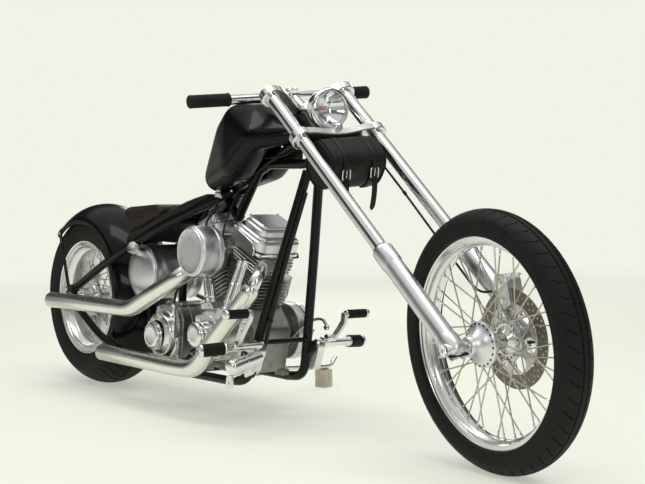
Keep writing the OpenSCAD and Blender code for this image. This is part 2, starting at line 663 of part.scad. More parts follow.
frame_backbone();
frame_downtubes();
frame_right_rail();
frame_left_rail();
frame_cross_tubes();
frame_seat_rails();
rear_axle();
fuel_tank();
seat_pad();
rear_pad();
rear_fender();
fender_strut();
oil_tank();
crankcase();
front_cylinder();
rear_cylinder();
front_head();
rear_head();
cam_cover();
pushrod_tubes();
carburettor();
air_cleaner();
transmission();
primary_cover();
front_exhaust();
rear_exhaust();
drive_chain();
rear_caliper();
right_foot_control();
left_foot_control();
brake_pedal();
shift_lever();
wiring_loom();
stand_block();
side_stand();
upper_clamp();
lower_clamp();
fork_tubes();
fork_sliders();
handlebar();
grips();
headlight();
headlight_lens();
tool_bag();
front_axle();
front_caliper();
brake_hose();
front_tyre();
front_rim();
front_spokes();
front_hub();
front_disc();
rear_tyre();
rear_rim();
rear_spokes();
rear_hub();
rear_sprocket();
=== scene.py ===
import json
from math import acos, asin, atan2, copysign, cos, exp, pi, radians, sin, sqrt

import bmesh
import bpy
import numpy as np
from mathutils import Matrix, Vector
from mathutils.geometry import tessellate_polygon


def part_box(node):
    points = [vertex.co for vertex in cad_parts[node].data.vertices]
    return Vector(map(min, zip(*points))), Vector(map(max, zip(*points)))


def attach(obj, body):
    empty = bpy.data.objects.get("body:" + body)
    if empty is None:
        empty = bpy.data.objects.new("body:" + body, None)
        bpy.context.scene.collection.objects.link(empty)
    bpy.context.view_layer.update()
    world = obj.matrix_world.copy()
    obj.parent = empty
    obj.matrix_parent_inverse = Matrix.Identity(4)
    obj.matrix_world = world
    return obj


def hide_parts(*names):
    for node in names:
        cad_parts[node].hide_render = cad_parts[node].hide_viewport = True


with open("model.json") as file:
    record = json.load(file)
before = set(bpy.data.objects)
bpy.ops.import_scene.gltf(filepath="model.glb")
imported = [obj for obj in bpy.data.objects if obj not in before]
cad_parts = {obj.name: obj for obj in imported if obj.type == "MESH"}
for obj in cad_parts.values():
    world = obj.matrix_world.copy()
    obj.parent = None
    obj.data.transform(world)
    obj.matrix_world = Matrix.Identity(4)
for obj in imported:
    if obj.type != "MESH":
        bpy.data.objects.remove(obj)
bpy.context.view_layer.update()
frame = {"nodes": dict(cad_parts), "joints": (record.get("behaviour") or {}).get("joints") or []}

print("frame loaded")

# Axes of the leaned bike, of its turned fork and of the wheels, all from the frame's own joints.
# Bike axes: X forward, Y left, Z up from the floor below the rear axle. Fork axes: X ahead, Z up the fork.
joints = {j["name"]: j for j in frame["joints"]}
rearAxle = Vector(joints["rear_wheel_spin"]["pos_m"])
rearAxis = Vector(joints["rear_wheel_spin"]["axis"])
lean = asin(-rearAxis.z)
axleHeight = rearAxle.z / cos(lean)
upright = Matrix.Rotation(lean, 3, "X")
steerAxis = upright @ Vector(joints["steering"]["axis"])
rake = asin(-steerAxis.x)
turned = acos((upright @ Vector(joints["front_wheel_spin"]["axis"])).y)
bike = (Matrix.Translation(rearAxle) @ Matrix.Rotation(-lean, 4, "X") @ Matrix.Translation((0, 0,
    -axleHeight)))
headBelow = 0.065
head = bike.inverted() @ Vector(joints["steering"]["pos_m"]) + steerAxis * headBelow
fork = (bike @ Matrix.Translation(head) @ Matrix.Rotation(-rake, 4, "Y") @ Matrix.Rotation(-turned, 4, "Z"))
frontHub = fork.inverted() @ Vector(joints["front_wheel_spin"]["pos_m"])
forkOffset, axleDown = frontHub.x, frontHub.z
frontWheel = fork @ Matrix.Translation(frontHub)
rearWheel = bike @ Matrix.Translation((0, 0, axleHeight))


# Shader building

class Value:
    def __init__(self, maker, socket):
        self.maker, self.socket = maker, socket

    def maths(self, operation, *inputs):
        return self.maker.node("ShaderNodeMath", {"operation": operation}, dict(enumerate(inputs)))

    def __add__(self, other):
        return self.maths("ADD", self, other)

    def __sub__(self, other):
        return self.maths("SUBTRACT", self, other)

    def __rsub__(self, other):
        return self.maths("SUBTRACT", other, self)

    def __mul__(self, other):
        return self.maths("MULTIPLY", self, other)

    __radd__ = __add__
    __rmul__ = __mul__


class Finish:
    def __init__(self, name, **constants):
        self.data = bpy.data.materials.new(name)
        self.data.use_nodes = True
        self.tree = self.data.node_tree
        self.shader = self.tree.nodes["Principled BSDF"]
        self.place = self.node("ShaderNodeTexCoord", output="Object")
        for key, value in constants.items():
            self.put(key, value)

    def node(self, kind, settings=None, sockets=None, output=0):
        made = self.tree.nodes.new(kind)
        for key, value in (settings or {}).items():
            setattr(made, key, value)
        for key, value in (sockets or {}).items():
            if isinstance(value, Value):
                self.tree.links.new(value.socket, made.inputs[key])
            else:
                made.inputs[key].default_value = value
        return Value(self, made.outputs[output])

    def put(self, key, value):
        socket = self.shader.inputs[key]
        if isinstance(value, Value):
            self.tree.links.new(value.socket, socket)
        else:
            socket.default_value = (*value, 1) if isinstance(value, tuple) and len(value) == 3 else value

    def stretched(self, scale, turn=(0, 0, 0)):
        return self.node("ShaderNodeMapping", {}, {"Vector": self.place, "Scale": scale, "Rotation": turn})

    def noise(self, scale, detail=3.0, rough=0.5, at=None):
        return self.node("ShaderNodeTexNoise", {}, {"Vector": at or self.place, "Scale": scale,
            "Detail": detail, "Roughness": rough})

    def cells(self, scale, feature="F1"):
        return self.node("ShaderNodeTexVoronoi", {"feature": feature},
            {"Vector": self.place, "Scale": scale}, "Distance")

    def ramp(self, value, low, high, start=0.0, end=1.0):
        return self.node("ShaderNodeMapRange", {}, {"Value": value, "From Min": low, "From Max": high,
            "To Min": start, "To Max": end})

    def mix(self, factor, first, second):
        asColour = [c if isinstance(c, Value) else (*c, 1) for c in (first, second)]
        return self.node("ShaderNodeMix", {"data_type": "RGBA"}, {0: factor, 6: asColour[0],
            7: asColour[1]}, 2)

    def bump(self, height, strength, distance):
        self.put("Normal", self.node("ShaderNodeBump", {}, {"Height": height, "Strength": strength,
            "Distance": distance}))


metals = {
    "polished": {"colour": (0.84, 0.84, 0.83), "rough": 0.20, "spread": 0.06, "scratch": 0.05},
    "satin": {"colour": (0.78, 0.79, 0.80), "rough": 0.33, "spread": 0.06, "scratch": 0.06},
    "chrome": {"colour": (0.88, 0.88, 0.88), "rough": 0.05, "spread": 0.04, "scratch": 0.02},
    "pipe": {"colour": (0.86, 0.84, 0.80), "rough": 0.22, "spread": 0.06, "scratch": 0.05},
    "spoke": {"colour": (0.60, 0.55, 0.48), "rough": 0.22, "spread": 0.16, "scratch": 0.05},
    "disc": {"colour": (0.26, 0.23, 0.20), "rough": 0.36, "spread": 0.16, "scratch": 0.2},
    "chain": {"colour": (0.20, 0.18, 0.16), "rough": 0.38, "spread": 0.2, "scratch": 0.2},
    "steel": {"colour": (0.60, 0.59, 0.57), "rough": 0.26, "spread": 0.1, "scratch": 0.1},
}


def metal(name, colour, rough, spread, scratch):
    m = Finish(name, Metallic=1.0)
    smear = m.noise(9, 4, 0.6)
    haze = m.noise(46, 3, 0.55)
    lines = m.noise(30, 2, 0.5, m.stretched((2.0, 26, 26), (0.3, 0.2, 0.5)))
    tone = m.ramp(smear * 0.6 + haze * 0.4, 0.35, 0.65)
    dull = tuple(c * 0.92 for c in colour)
    m.put("Base Color", m.mix(tone, dull, colour))
    m.put("Roughness", m.ramp(smear * 0.5 + lines * 0.5, 0.35, 0.65, rough, rough + spread))
    m.bump(lines * 0.6 + haze * 0.4, scratch, 0.0006)
    return m.data


def castMetal(name, colour, rough, grain):
    m = Finish(name, Metallic=1.0)
    sand = m.noise(900, 2, 0.6)
    cloud = m.noise(14, 5, 0.6)
    grime = m.ramp(m.noise(30, 5, 0.65), 0.52, 0.72)
    m.put("Base Color", m.mix(grime * 0.55, m.mix(m.ramp(cloud, 0.3, 0.7), tuple(c * 0.82 for c in colour),
        colour), tuple(c * 0.35 for c in colour)))
    m.put("Roughness", m.ramp(cloud, 0.3, 0.7, rough - 0.05, rough + 0.12) + grime * 0.1)
    m.bump(sand * 0.5 + cloud * 0.5, grain, 0.0008)
    return m.data


def paint(name, colour, rough, peel, coat):
    m = Finish(name, Metallic=0.0)
    m.put("Coat Roughness", 0.05)
    m.put("Specular IOR Level", 0.1)
    dust = m.ramp(m.noise(140, 5, 0.7), 0.55, 0.80)
    film = m.ramp(m.noise(5, 4, 0.6), 0.35, 0.7)
    m.put("Base Color", m.mix(dust * 0.02 + film * 0.015, colour, (0.20, 0.19, 0.18)))
    m.put("Roughness", m.ramp(film, 0, 1, rough, rough + 0.12) + dust * 0.05)
    m.put("Coat Weight", coat)
    m.bump(m.noise(260, 2, 0.4) * 0.7 + m.noise(60, 2, 0.4) * 0.3, peel, 0.0006)
    return m.data


def rubber(name, colour, dusty, rough, grain):
    m = Finish(name, Metallic=0.0)
    m.put("Specular IOR Level", 0.22)
    blotch = m.noise(11, 5, 0.6)
    fine = m.noise(700, 3, 0.6)
    m.put("Base Color", m.mix(m.ramp(blotch * 0.7 + fine * 0.3, 0.40, 0.68), colour, dusty))
    m.put("Roughness", m.ramp(blotch, 0.3, 0.7, rough - 0.08, rough + 0.08))
    m.bump(fine, grain, 0.0007)
    return m.data


hides = {
    "seat": {"colour": (0.007, 0.006, 0.006), "worn": (0.022, 0.018, 0.016), "cell": 330, "rough": 0.50},
    "brown": {"colour": (0.015, 0.010, 0.009), "worn": (0.034, 0.024, 0.020), "cell": 300, "rough": 0.56},
    "bag": {"colour": (0.009, 0.007, 0.006), "worn": (0.026, 0.019, 0.016), "cell": 260, "rough": 0.55},
}


def leather(name, colour, worn, cell, rough):
    m = Finish(name, Metallic=0.0)
    m.put("Specular IOR Level", 0.25)
    warp = m.noise(60, 3, 0.6)
    grain = m.ramp(m.cells(cell), 0.0, 0.75)
    crease = m.ramp(m.cells(26, "DISTANCE_TO_EDGE"), 0.0, 0.05)
    wear = m.ramp(m.noise(8, 5, 0.65) * 0.7 + warp * 0.3, 0.45, 0.66)
    m.put("Base Color", m.mix(wear * grain, colour, worn))
    m.put("Roughness", rough + wear * 0.14 - crease * 0.05)
    m.bump(grain * 0.7 + crease * 0.25 + warp * 0.4, 0.45, 0.0011)
    return m.data


def timber(name):
    m = Finish(name, Metallic=0.0)
    along = m.stretched((34, 34, 3.2), (0.06, 0.1, 0.2))
    grain = m.noise(3.2, 6, 0.7, along)
    fibres = m.noise(16, 4, 0.7, along)
    stain = m.ramp(m.noise(22, 4, 0.6), 0.45, 0.75)
    wood = m.mix(m.ramp(grain, 0.35, 0.65), (0.46, 0.39, 0.30), (0.74, 0.67, 0.56))
    m.put("Base Color", m.mix(stain * 0.4, wood, (0.20, 0.15, 0.11)))
    m.put("Roughness", m.ramp(fibres, 0.3, 0.7, 0.62, 0.85))
    m.bump(fibres * 0.6 + grain * 0.4, 0.5, 0.0012)
    return m.data


def plain(name, colour, rough, metallic=0.0):
    m = Finish(name, Metallic=metallic)
    speck = m.noise(240, 3, 0.6)
    m.put("Base Color", m.mix(m.ramp(speck, 0.35, 0.7), colour, tuple(c * 0.6 for c in colour)))
    m.put("Roughness", m.ramp(speck, 0.3, 0.7, rough, rough + 0.12))
    m.bump(speck, 0.15, 0.0004)
    return m.data


def glass(name, colour, rough):
    m = Finish(name, Metallic=0.0, Alpha=0.08, IOR=1.45)
    m.put("Base Color", m.mix(m.noise(40), colour, tuple(c * 0.9 for c in colour)))
    m.put("Roughness", m.ramp(m.noise(60), 0.3, 0.7, rough, rough + 0.04))
    m.put("Specular IOR Level", 0.8)
    return m.data


finishes = {key: metal(key, **values) for key, values in metals.items()}
finishes.update({key + "Leather": leather(key + "Leather", **values) for key, values in hides.items()})
finishes.update({
    "cast": castMetal("cast", (0.33, 0.32, 0.31), 0.40, 0.35),
    "buffed": castMetal("buffed", (0.68, 0.68, 0.66), 0.28, 0.18),
    "gloss": paint("gloss", (0.002, 0.002, 0.002), 0.22, 0.015, 0.2),
    "frame": paint("frame", (0.003, 0.003, 0.003), 0.24, 0.05, 0.25),
    "calliper": paint("calliper", (0.02, 0.02, 0.021), 0.42, 0.2, 0.1),
    "tyre": rubber("tyre", (0.005, 0.005, 0.005), (0.014, 0.013, 0.012), 0.62, 0.25),
    "grip": rubber("grip", (0.006, 0.006, 0.006), (0.014, 0.014, 0.014), 0.58, 0.3),
    "cable": rubber("cable", (0.009, 0.009, 0.010), (0.025, 0.025, 0.026), 0.40, 0.15),
    "timber": timber("timber"),
    # Near-black finish for holes, slots and recesses: painted shade where their depth would fall dark
    "holeShade": plain("holeShade", (0.012, 0.011, 0.010), 0.7),
    "brass": plain("brass", (0.45, 0.33, 0.14), 0.3, 1.0),
    "amber": plain("amber", (0.75, 0.22, 0.05), 0.18),
    "reflector": metal("reflector", (0.93, 0.94, 0.95), 0.03, 0.05, 0.02),
    "lens": glass("lens", (0.92, 0.95, 0.96), 0.02),
})
print("materials made")


# Mesh building: every piece is one Shape, in millimetres, laid in one of the frames above

def unitAcross(direction):
    other = Vector((0, 1, 0)) if abs(direction.y) < 0.9 else Vector((1, 0, 0))
    return direction.cross(other).normalized()


def smoothRoute(points, cut=50, steps=8):
    # Straight runs with round bends
    points = [Vector(p) for p in points]
    route = [points[0]]
    for before, corner, after in zip(points, points[1:], points[2:]):
        start = corner + (before - corner) * min(0.49, cut / (before - corner).length)
        end = corner + (after - corner) * min(0.49, cut / (after - corner).length)
        for i in range(steps + 1):
            t = i / steps
            route.append(start * (1 - t) ** 2 + corner * 2 * t * (1 - t) + end * t * t)
    return route + [points[-1]]


def circlePoints(radius, count=48, centre=(0, 0), start=0.0, sweep=2 * pi):
    whole = abs(sweep) > 6.28
    steps = count if whole else count - 1
    return [(centre[0] + radius * cos(start + sweep * i / steps), centre[1]
        + radius * sin(start + sweep * i / steps)) for i in range(count)]


def roundedOutline(corners, radius=6, steps=5):
    # A closed outline with its corners rounded
    out = []
    count = len(corners)
    for i, corner in enumerate(corners):
        corner = Vector(corner)
        before, after = Vector(corners[i - 1]), Vector(corners[(i + 1) % count])
        start = corner + (before - corner) * min(0.45, radius / max(1e-6, (before - corner).length))
        end = corner + (after - corner) * min(0.45, radius / max(1e-6, (after - corner).length))
        for k in range(steps + 1):
            t = k / steps
            out.append(tuple(start * (1 - t) ** 2 + corner * 2 * t * (1 - t) + end * t * t))
    return out


def insetOutline(outline, distance):
    points = [Vector(p) for p in outline]
    count = len(points)
    area = sum(points[i - 1].cross(points[i]) for i in range(count))
    sign = 1 if area > 0 else -1
    out = []
    for i, point in enumerate(points):
        a = (point - points[i - 1]).normalized()
        b = (points[(i + 1) % count] - point).normalized()
        normal = Vector((-(a + b).y, (a + b).x))
        length = normal.length
        if length < 1e-6:
            out.append(tuple(point))
            continue
        normal /= length
        stretch = 1 / max(0.4, length / 2)
        out.append(tuple(point + normal * sign * distance * stretch))
    return out


class Shape:
    def __init__(self):
        self.verts, self.faces, self.slots, self.names = [], [], [], []

    def slot(self, finish):
        if finish not in self.names:
            self.names.append(finish)
        return self.names.index(finish)

    def add(self, verts, faces, finish, at=None):
        base, slot = len(self.verts), self.slot(finish)
        self.verts.extend((at @ Vector(v)) if at is not None else Vector(v) for v in verts)
        flip = at is not None and at.determinant() < 0
        for face in faces:
            face = [base + i for i in face]
            self.faces.append(face[::-1] if flip else face)
            self.slots.append(slot)
        return self

    def grid(self, rows, finish, at=None, closeRound=True, closeEnds=False):
        # Rows of points, joined into quads; each row may close on itself
        count = len(rows[0])
        verts = [p for row in rows for p in row]
        faces = []
        for i in range(len(rows) - 1):
            for k in range(count if closeRound else count - 1):
                a, b = i * count + k, i * count + (k + 1) % count
                faces.append([a, b, b + count, a + count])
        if closeEnds:
            faces.append(list(range(count))[::-1])
            faces.append([(len(rows) - 1) * count + k for k in range(count)])
        return self.add(verts, faces, finish, at)

    def lathe(self, profile, finish, at=None, segments=96, arc=None, closed=False):
        # Outline of radius and Y, turned about Y
        rows = []
        line = list(profile) + ([profile[0]] if closed else [])
        full = arc is None
        start, end = arc or (0, 2 * pi)
        count = segments if full else segments + 1
        for radius, y in line:
            rows.append([(radius * cos(a), y, radius * sin(a)) for a in (start
                + (end - start) * k / segments for k in range(count))])
        count = len(rows[0])
        verts = [p for row in rows for p in row]
        faces = []
        for i in range(len(rows) - 1):
            for k in range(count if full else count - 1):
                a, b = i * count + k, i * count + (k + 1) % count
                faces.append([a, a + count, b + count, b])
        if not full:
            faces.append([i * count for i in range(len(rows) - (1 if closed else 0))][::-1])
            faces.append([i * count + count - 1 for i in range(len(rows) - (1 if closed else 0))])
        return self.add(verts, faces, finish, at)

    def disc(self, centre, y0, y1, radius, finish, at=None, segments=48, bevel=1.0):
        # Short cylinder along Y with broken edges
        low, high = min(y0, y1), max(y0, y1)
        bevel = min(bevel, (high - low) * 0.45, radius * 0.45)
        profile = [(0.0, low), (radius - bevel, low), (radius - bevel * 0.3, low + bevel * 0.3),
                   (radius, low + bevel), (radius, high - bevel),
                   (radius - bevel * 0.3, high - bevel * 0.3), (radius - bevel, high), (0.0, high)]
        spot = Matrix.Translation((centre[0], 0, centre[1]))
        return self.lathe(profile, finish, at @ spot if at is not None else spot, segments)

    def tube(self, points, radius, finish, at=None, sides=24, caps=True):
        # Round tube along a route; radius may be a list with one value for each point
        points = [Vector(p) for p in points]
        radii = radius if isinstance(radius, (list, tuple)) else [radius] * len(points)
        across = None
        rows = []
        for i, point in enumerate(points):
            direction = (points[min(i + 1, len(points) - 1)] - points[max(i - 1, 0)]).normalized()
            across = unitAcross(direction) if across is None else (
                across - direction * across.dot(direction)).normalized()
            other = direction.cross(across)
            rows.append([point + (across * cos(2 * pi * k / sides) + other * sin(2 * pi * k / sides))
                * radii[i] for k in range(sides)])
        return self.grid(rows, finish, at, True, caps)

    def rod(self, a, b, radius, finish, at=None, sides=24, bevel=0.8):
        a, b = Vector(a), Vector(b)
        along = (b - a).normalized()
        length = (b - a).length
        bevel = min(bevel, length * 0.3, radius * 0.4)
        points = [a, a + along * bevel * 0.3, a + along * bevel, b - along * bevel, b - along * bevel * 0.3,
            b]
        rims = [radius - bevel, radius - bevel * 0.3, radius]
        return self.tube(points, rims + rims[::-1], finish, at, sides)

    def plate(self, outline, y0, y1, finish, at=None, bevel=1.0, holes=()):
        # Flat plate in the X-Z plane between two Y values, its outline as (x, z) points
        low, high = min(y0, y1), max(y0, y1)
        loops = [list(outline)] + [list(h) for h in holes]
        area = [sum(Vector(l[i - 1]).cross(Vector(l[i])) for i in range(len(l))) for l in loops]
        loops = [l if (a > 0) == (n == 0) else l[::-1] for n, (l, a) in enumerate(zip(loops, area))]
        bevel = min(bevel, (high - low) * 0.4)
        verts, faces, rings = [], [], []
        for n, loop in enumerate(loops):
            inner = insetOutline(loop, bevel if n == 0 else -bevel)
            size = len(loop)
            base = len(verts)
            for y, line in ((low, inner), (low + bevel, loop), (high - bevel, loop), (high, inner)):
                verts.extend((x, y, z) for x, z in line)
            for ring in range(3):
                for i in range(size):
                    a, b = base + ring * size + i, base + ring * size + (i + 1) % size
                    faces.append([a, a + size, b + size, b])
            rings.append((base, size))
        order = [base + i for base, size in rings for i in range(size)]
        flat = tessellate_polygon([[Vector((verts[base + i][0], verts[base + i][2], 0))
            for i in range(size)] for base, size in rings])
        top = [base + 3 * size + i for base, size in rings for i in range(size)]
        for triangle in flat:
            a, b, c = (Vector((verts[order[i]][0], verts[order[i]][2])) for i in triangle)
            anti = (b - a).cross(c - a) > 0
            tri = list(triangle) if anti else list(triangle)[::-1]
            faces.append([order[i] for i in tri])
            faces.append([top[i] for i in tri[::-1]])
        return self.add(verts, faces, finish, at)

    def block(self, low, high, finish, at=None, radius=4, bevel=1.2):
        # Box with rounded upright corners, between two corner points
        corners = [(low[0], low[2]), (high[0], low[2]), (high[0], high[2]), (low[0], high[2])]
        return self.plate(roundedOutline(corners, radius, 4), low[1], high[1], finish, at, bevel)

    def bolt(self, spot, towards, radius, finish, at=None, kind="hex", height=None):
        # Bolt head that stands on a point and faces a direction
        towards = Vector(towards).normalized()
        height = height or radius * 1.1
        turn = Vector((0, 1, 0)).rotation_difference(towards).to_matrix().to_4x4()
        lay = Matrix.Translation(Vector(spot)) @ turn
        lay = at @ lay if at is not None else lay
        sides = 6 if kind == "hex" else 20
        rim = radius * (1.0 if kind != "dome" else 0.7)
        rows = [(radius, 0.0), (radius, height * 0.75), (rim * 0.86, height)]
        if kind == "socket":
            rows += [(radius * 0.5, height), (radius * 0.46, height * 0.45), (0.0, height * 0.45)]
        else:
            rows += [(0.0, height * (1.0 if kind == "hex" else 1.15))]
        self.lathe(rows, finish, lay, sides)
        if kind == "hex":
            self.lathe([(radius * 1.25, 0), (radius * 1.25, radius * 0.18), (0, radius * 0.18)], finish,
                lay, 20)
        return self

    def mesh(self, name, at, crease=34):
        data = bpy.data.meshes.new(name)
        verts = [at @ (v * 0.001) for v in self.verts]
        data.from_pydata([tuple(v) for v in verts], [], self.faces)
        data.polygons.foreach_set("material_index", self.slots)
        data.polygons.foreach_set("use_smooth", [True] * len(self.faces))
        for finish in self.names:
            data.materials.append(finishes[finish])
        data.validate()
        data.update()
        tidy = bpy.data.objects.new(name, data)
        bpy.context.scene.collection.objects.link(tidy)
        weld(data)
        data.set_sharp_from_angle(angle=radians(crease))
        return tidy

    def finish(self, name, at, body, slot, nodes=(), crease=34):
        made = self.mesh(name, at, crease)
        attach(made, body)
        if nodes:
            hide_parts(*nodes)
        print("piece", name, len(made.data.polygons))
        return made


def weld(data, distance=0.000002):
    work = bmesh.new()
    work.from_mesh(data)
    bmesh.ops.remove_doubles(work, verts=work.verts, dist=distance)
    bmesh.ops.dissolve_degenerate(work, edges=work.edges, dist=0.000001)
    work.to_mesh(data)
    work.free()


alongZ = Matrix.Rotation(pi / 2, 4, "X")
here = Matrix.Translation


# Camera, light and floor

view = {"at": (3.7784, -2.7308, 0.8433), "around": 53.38, "above": 3.49, "roll": -1.0, "lens": 81.2,
    "sensor": 36}
camera = bpy.data.objects.new("camera", bpy.data.cameras.new("camera"))
bpy.context.scene.collection.objects.link(camera)
bpy.context.scene.camera = camera
camera.data.sensor_width = view["sensor"]
camera.data.lens = view["lens"]
camera.data.clip_end = 100
around, above, roll = (radians(view[key]) for key in ("around", "above", "roll"))
right = Vector((cos(around), sin(around), 0))
back = Vector((sin(around) * cos(above), -cos(around) * cos(above), sin(above)))
up = back.cross(right)
rightRolled = right * cos(roll) + up * sin(roll)
upRolled = up * cos(roll) - right * sin(roll)
turnedTo = Matrix((rightRolled, upRolled, back)).transposed().to_4x4()
camera.matrix_world = here(view["at"]) @ turnedTo

studio = {"backdrop": (0.87, 0.895, 0.785), "floor": (0.60, 0.615, 0.54), "glow": 0.46, "top": 46,
    "key": 26, "rim": 22, "strip": 16, "sky": [(0.0, (0.36, 0.37, 0.33)), (0.02, (0.44, 0.45, 0.41)),
    (0.11, (0.40, 0.41, 0.38)), (0.20, (0.03, 0.03, 0.03)), (0.50, (0.05, 0.05, 0.05)),
    (0.64, (0.62, 0.62, 0.60)), (1.0, (0.70, 0.70, 0.68))]}


def addWorld():
    # Pale backdrop for the camera; bright and dark bands for reflections and light
    bpy.context.scene.view_settings.view_transform = "Standard"
    world = bpy.data.worlds.new("studio")
    bpy.context.scene.world = world
    world.use_nodes = True
    nodes, links = world.node_tree.nodes, world.node_tree.links
    nodes.clear()
    out = nodes.new("ShaderNodeOutputWorld")
    mix = nodes.new("ShaderNodeMixShader")
    path = nodes.new("ShaderNodeLightPath")
    seen = nodes.new("ShaderNodeBackground")
    seen.inputs["Color"].default_value = (*studio["backdrop"], 1)
    bands = nodes.new("ShaderNodeBackground")
    spot = nodes.new("ShaderNodeTexCoord")
    split = nodes.new("ShaderNodeSeparateXYZ")
    ramp = nodes.new("ShaderNodeValToRGB")
    stops = ramp.color_ramp.elements
    while len(stops) < len(studio["sky"]):
        stops.new(0.5)
    for stop, (at, colour) in zip(stops, studio["sky"]):
        stop.position, stop.color = at, (*colour, 1)
    links.new(spot.outputs["Generated"], split.inputs[0])
    links.new(split.outputs["Z"], ramp.inputs["Fac"])
    links.new(ramp.outputs["Color"], bands.inputs["Color"])
    links.new(path.outputs["Is Camera Ray"], mix.inputs["Fac"])
    links.new(bands.outputs[0], mix.inputs[1])
    links.new(seen.outputs[0], mix.inputs[2])
    links.new(mix.outputs[0], out.inputs["Surface"])


def addLamp(name, place, target, size, energy):
    lamp = bpy.data.lights.new(name, "AREA")
    lamp.shape = "RECTANGLE"
    lamp.size, lamp.size_y = size
    lamp.energy = energy
    holder = bpy.data.objects.new(name, lamp)
    bpy.context.scene.collection.objects.link(holder)
    holder.location = place
    holder.rotation_euler = (Vector(target) - Vector(place)).to_track_quat("-Z", "Y").to_euler()
    return holder


def addFloor():
    # Pale paper floor that fades into the backdrop far from the stand
    data = bpy.data.meshes.new("floor")
    data.from_pydata([(-30, -30, 0), (30, -30, 0), (30, 30, 0), (-30, 30, 0)], [], [[0, 1, 2, 3]])
    floor = bpy.data.objects.new("floor", data)
    bpy.context.scene.collection.objects.link(floor)
    m = Finish("floor", Metallic=0.0)
    m.put("Specular IOR Level", 0.0)
    m.put("Roughness", 0.9)
    m.put("Base Color", m.mix(m.noise(3, 3, 0.5) * 0.2, studio["floor"],
        tuple(c * 0.98 for c in studio["floor"])))
    m.put("Emission Color", studio["backdrop"])
    m.put("Emission Strength", studio["glow"])
    away = m.node("ShaderNodeVectorMath", {"operation": "LENGTH"}, {0: m.place}, "Value")
    m.put("Alpha", m.ramp(away, 3.0, 6.0, 1.0, 0.0))
    data.materials.append(m.data)


addWorld()
addFloor()
addLamp("topLight", (0.2, -0.3, 3.4), (0, 0, 0.3), (4.2, 1.0), studio["top"])
addLamp("keyLight", (2.4, -4.4, 2.3), (0.2, 0, 0.5), (2.4, 0.7), studio["key"])
addLamp("rimLight", (-3.2, 2.6, 1.9), (0, 0, 0.5), (2.0, 0.9), studio["rim"])
addLamp("stripLight", (3.9, -0.9, 2.0), (0.6, 0, 0.8), (0.16, 1.9), studio["strip"])
print("studio ready")


# Tyres

tyres = {
    "front": {"radius": 348, "crown": 50, "half": 49, "widest": 300, "sideRadius": 70, "flange": 280.5,
              "bead": 268, "beadHalf": 28, "repeats": 50, "depth": 3.0, "reach": 43, "ribs": (9, -9),
              "slant": 0.55, "from": 13, "thin": 0.085},
    "rear": {"radius": 324, "crown": 130, "half": 104, "widest": 262, "sideRadius": 150, "flange": 208.5,
             "bead": 192, "beadHalf": 88, "repeats": 46, "depth": 4.5, "reach": 98, "ribs": (22, -22),
             "slant": 0.75, "from": 30, "thin": 0.10},
}


def tyreShape(radius, crown, half, widest, sideRadius, flange, bead, beadHalf, repeats, depth, reach, ribs,
        slant, thin, **more):
    # Section from the right bead over the crown to the left bead
    start = more["from"]

    def side(r):
        return half - sideRadius + sqrt(sideRadius ** 2 - (r - widest) ** 2)

    def crownAt(y):
        return radius - crown + sqrt(max(0, crown ** 2 - y ** 2))

    edge = next(y for y in np.arange(half - 0.05, 0, -0.05) if side(max(widest - sideRadius * 0.9,
        crownAt(y))) >= y)
    meet = crownAt(edge)
    tread = []
    count = 46
    for i in range(count + 1):
        angle = asin(edge / crown) * (i / count)
        tread.append((crownAt(crown * sin(angle)), crown * sin(angle)))
    for y in ribs:
        if y > 0:
            tread = [p for p in tread if abs(p[1] - y) > 2.6]
            for away, drop in ((-2.2, 0), (-1.3, depth), (1.3, depth), (2.2, 0)):
                tread.append((crownAt(y + away) - drop, y + away))
    tread.sort(key=lambda p: p[1])
    wall = []
    steps = 26
    for i in range(1, steps + 1):
        r = meet + (flange - meet) * i / steps
        along = i / steps
        rib = 0.9 if 0.16 < along < 0.22 or 0.80 < along < 0.86 else 0.0
        rib += 0.35 * max(0.0, sin(along * pi * 22)) if 0.26 < along < 0.74 else 0.0
        wall.append((r, side(r) + rib - 0.5))
    wall += [(flange - 1, beadHalf), (bead, beadHalf - 1), (bead, beadHalf - 8)]
    halfLine = tread + wall
    section = [(r, -y) for r, y in halfLine[:0:-1]] + halfLine
    columns = []
    for k, leftSide in enumerate((False, True)):
        base = 0.5 * k
        for away, deep in ((0.0, 0), (thin * 0.3, 1), (thin * 0.8, 1), (thin * 1.1, 0), (0.26, 0)):
            columns.append((base + away, deep, leftSide))
    shape = Shape()
    rows = []
    pitch = 2 * pi / repeats
    for r, y in section:
        row = []
        far = abs(y)
        inTread = start < far < reach and r > meet - 10
        lead = slant * min(far, reach) / reach + 0.07 * sin(min(far, reach) / reach * 9)
        for i in range(repeats):
            for part, deep, leftSide in columns:
                fade = min(1.0, (reach - far) / (reach * 0.12), (far
                    - start) / (reach * 0.06)) if inTread else 0
                drop = depth * deep * fade if (y > 0) == leftSide else 0.0
                angle = (i + part + lead) * pitch
                row.append(((r - drop) * cos(angle), y, (r - drop) * sin(angle)))
        rows.append(row)
    shape.grid(rows, "tyre")
    return shape


tyreShape(**tyres["front"]).finish("frontTyre", frontWheel, "front_wheel", "tyre_rubber", ["front_tyre"], 30)
tyreShape(**tyres["rear"]).finish("rearTyre", rearWheel, "rear_wheel", "tyre_rubber", ["rear_tyre"], 30)


# Rims, spokes and hubs

wheels = {
    "front": {"flange": 280, "half": 33, "well": 253, "wellHalf": 12, "bead": 266, "beadHalf": 20,
              "hubR": 45, "hubY": 42, "rimY": 4, "sweep": 52, "nipple": 16},
    "rear": {"flange": 208, "half": 95, "well": 173, "wellHalf": 62, "bead": 190, "beadHalf": 78,
             "hubR": 62, "hubY": 64, "rimY": 12, "sweep": 46, "nipple": 16},
}


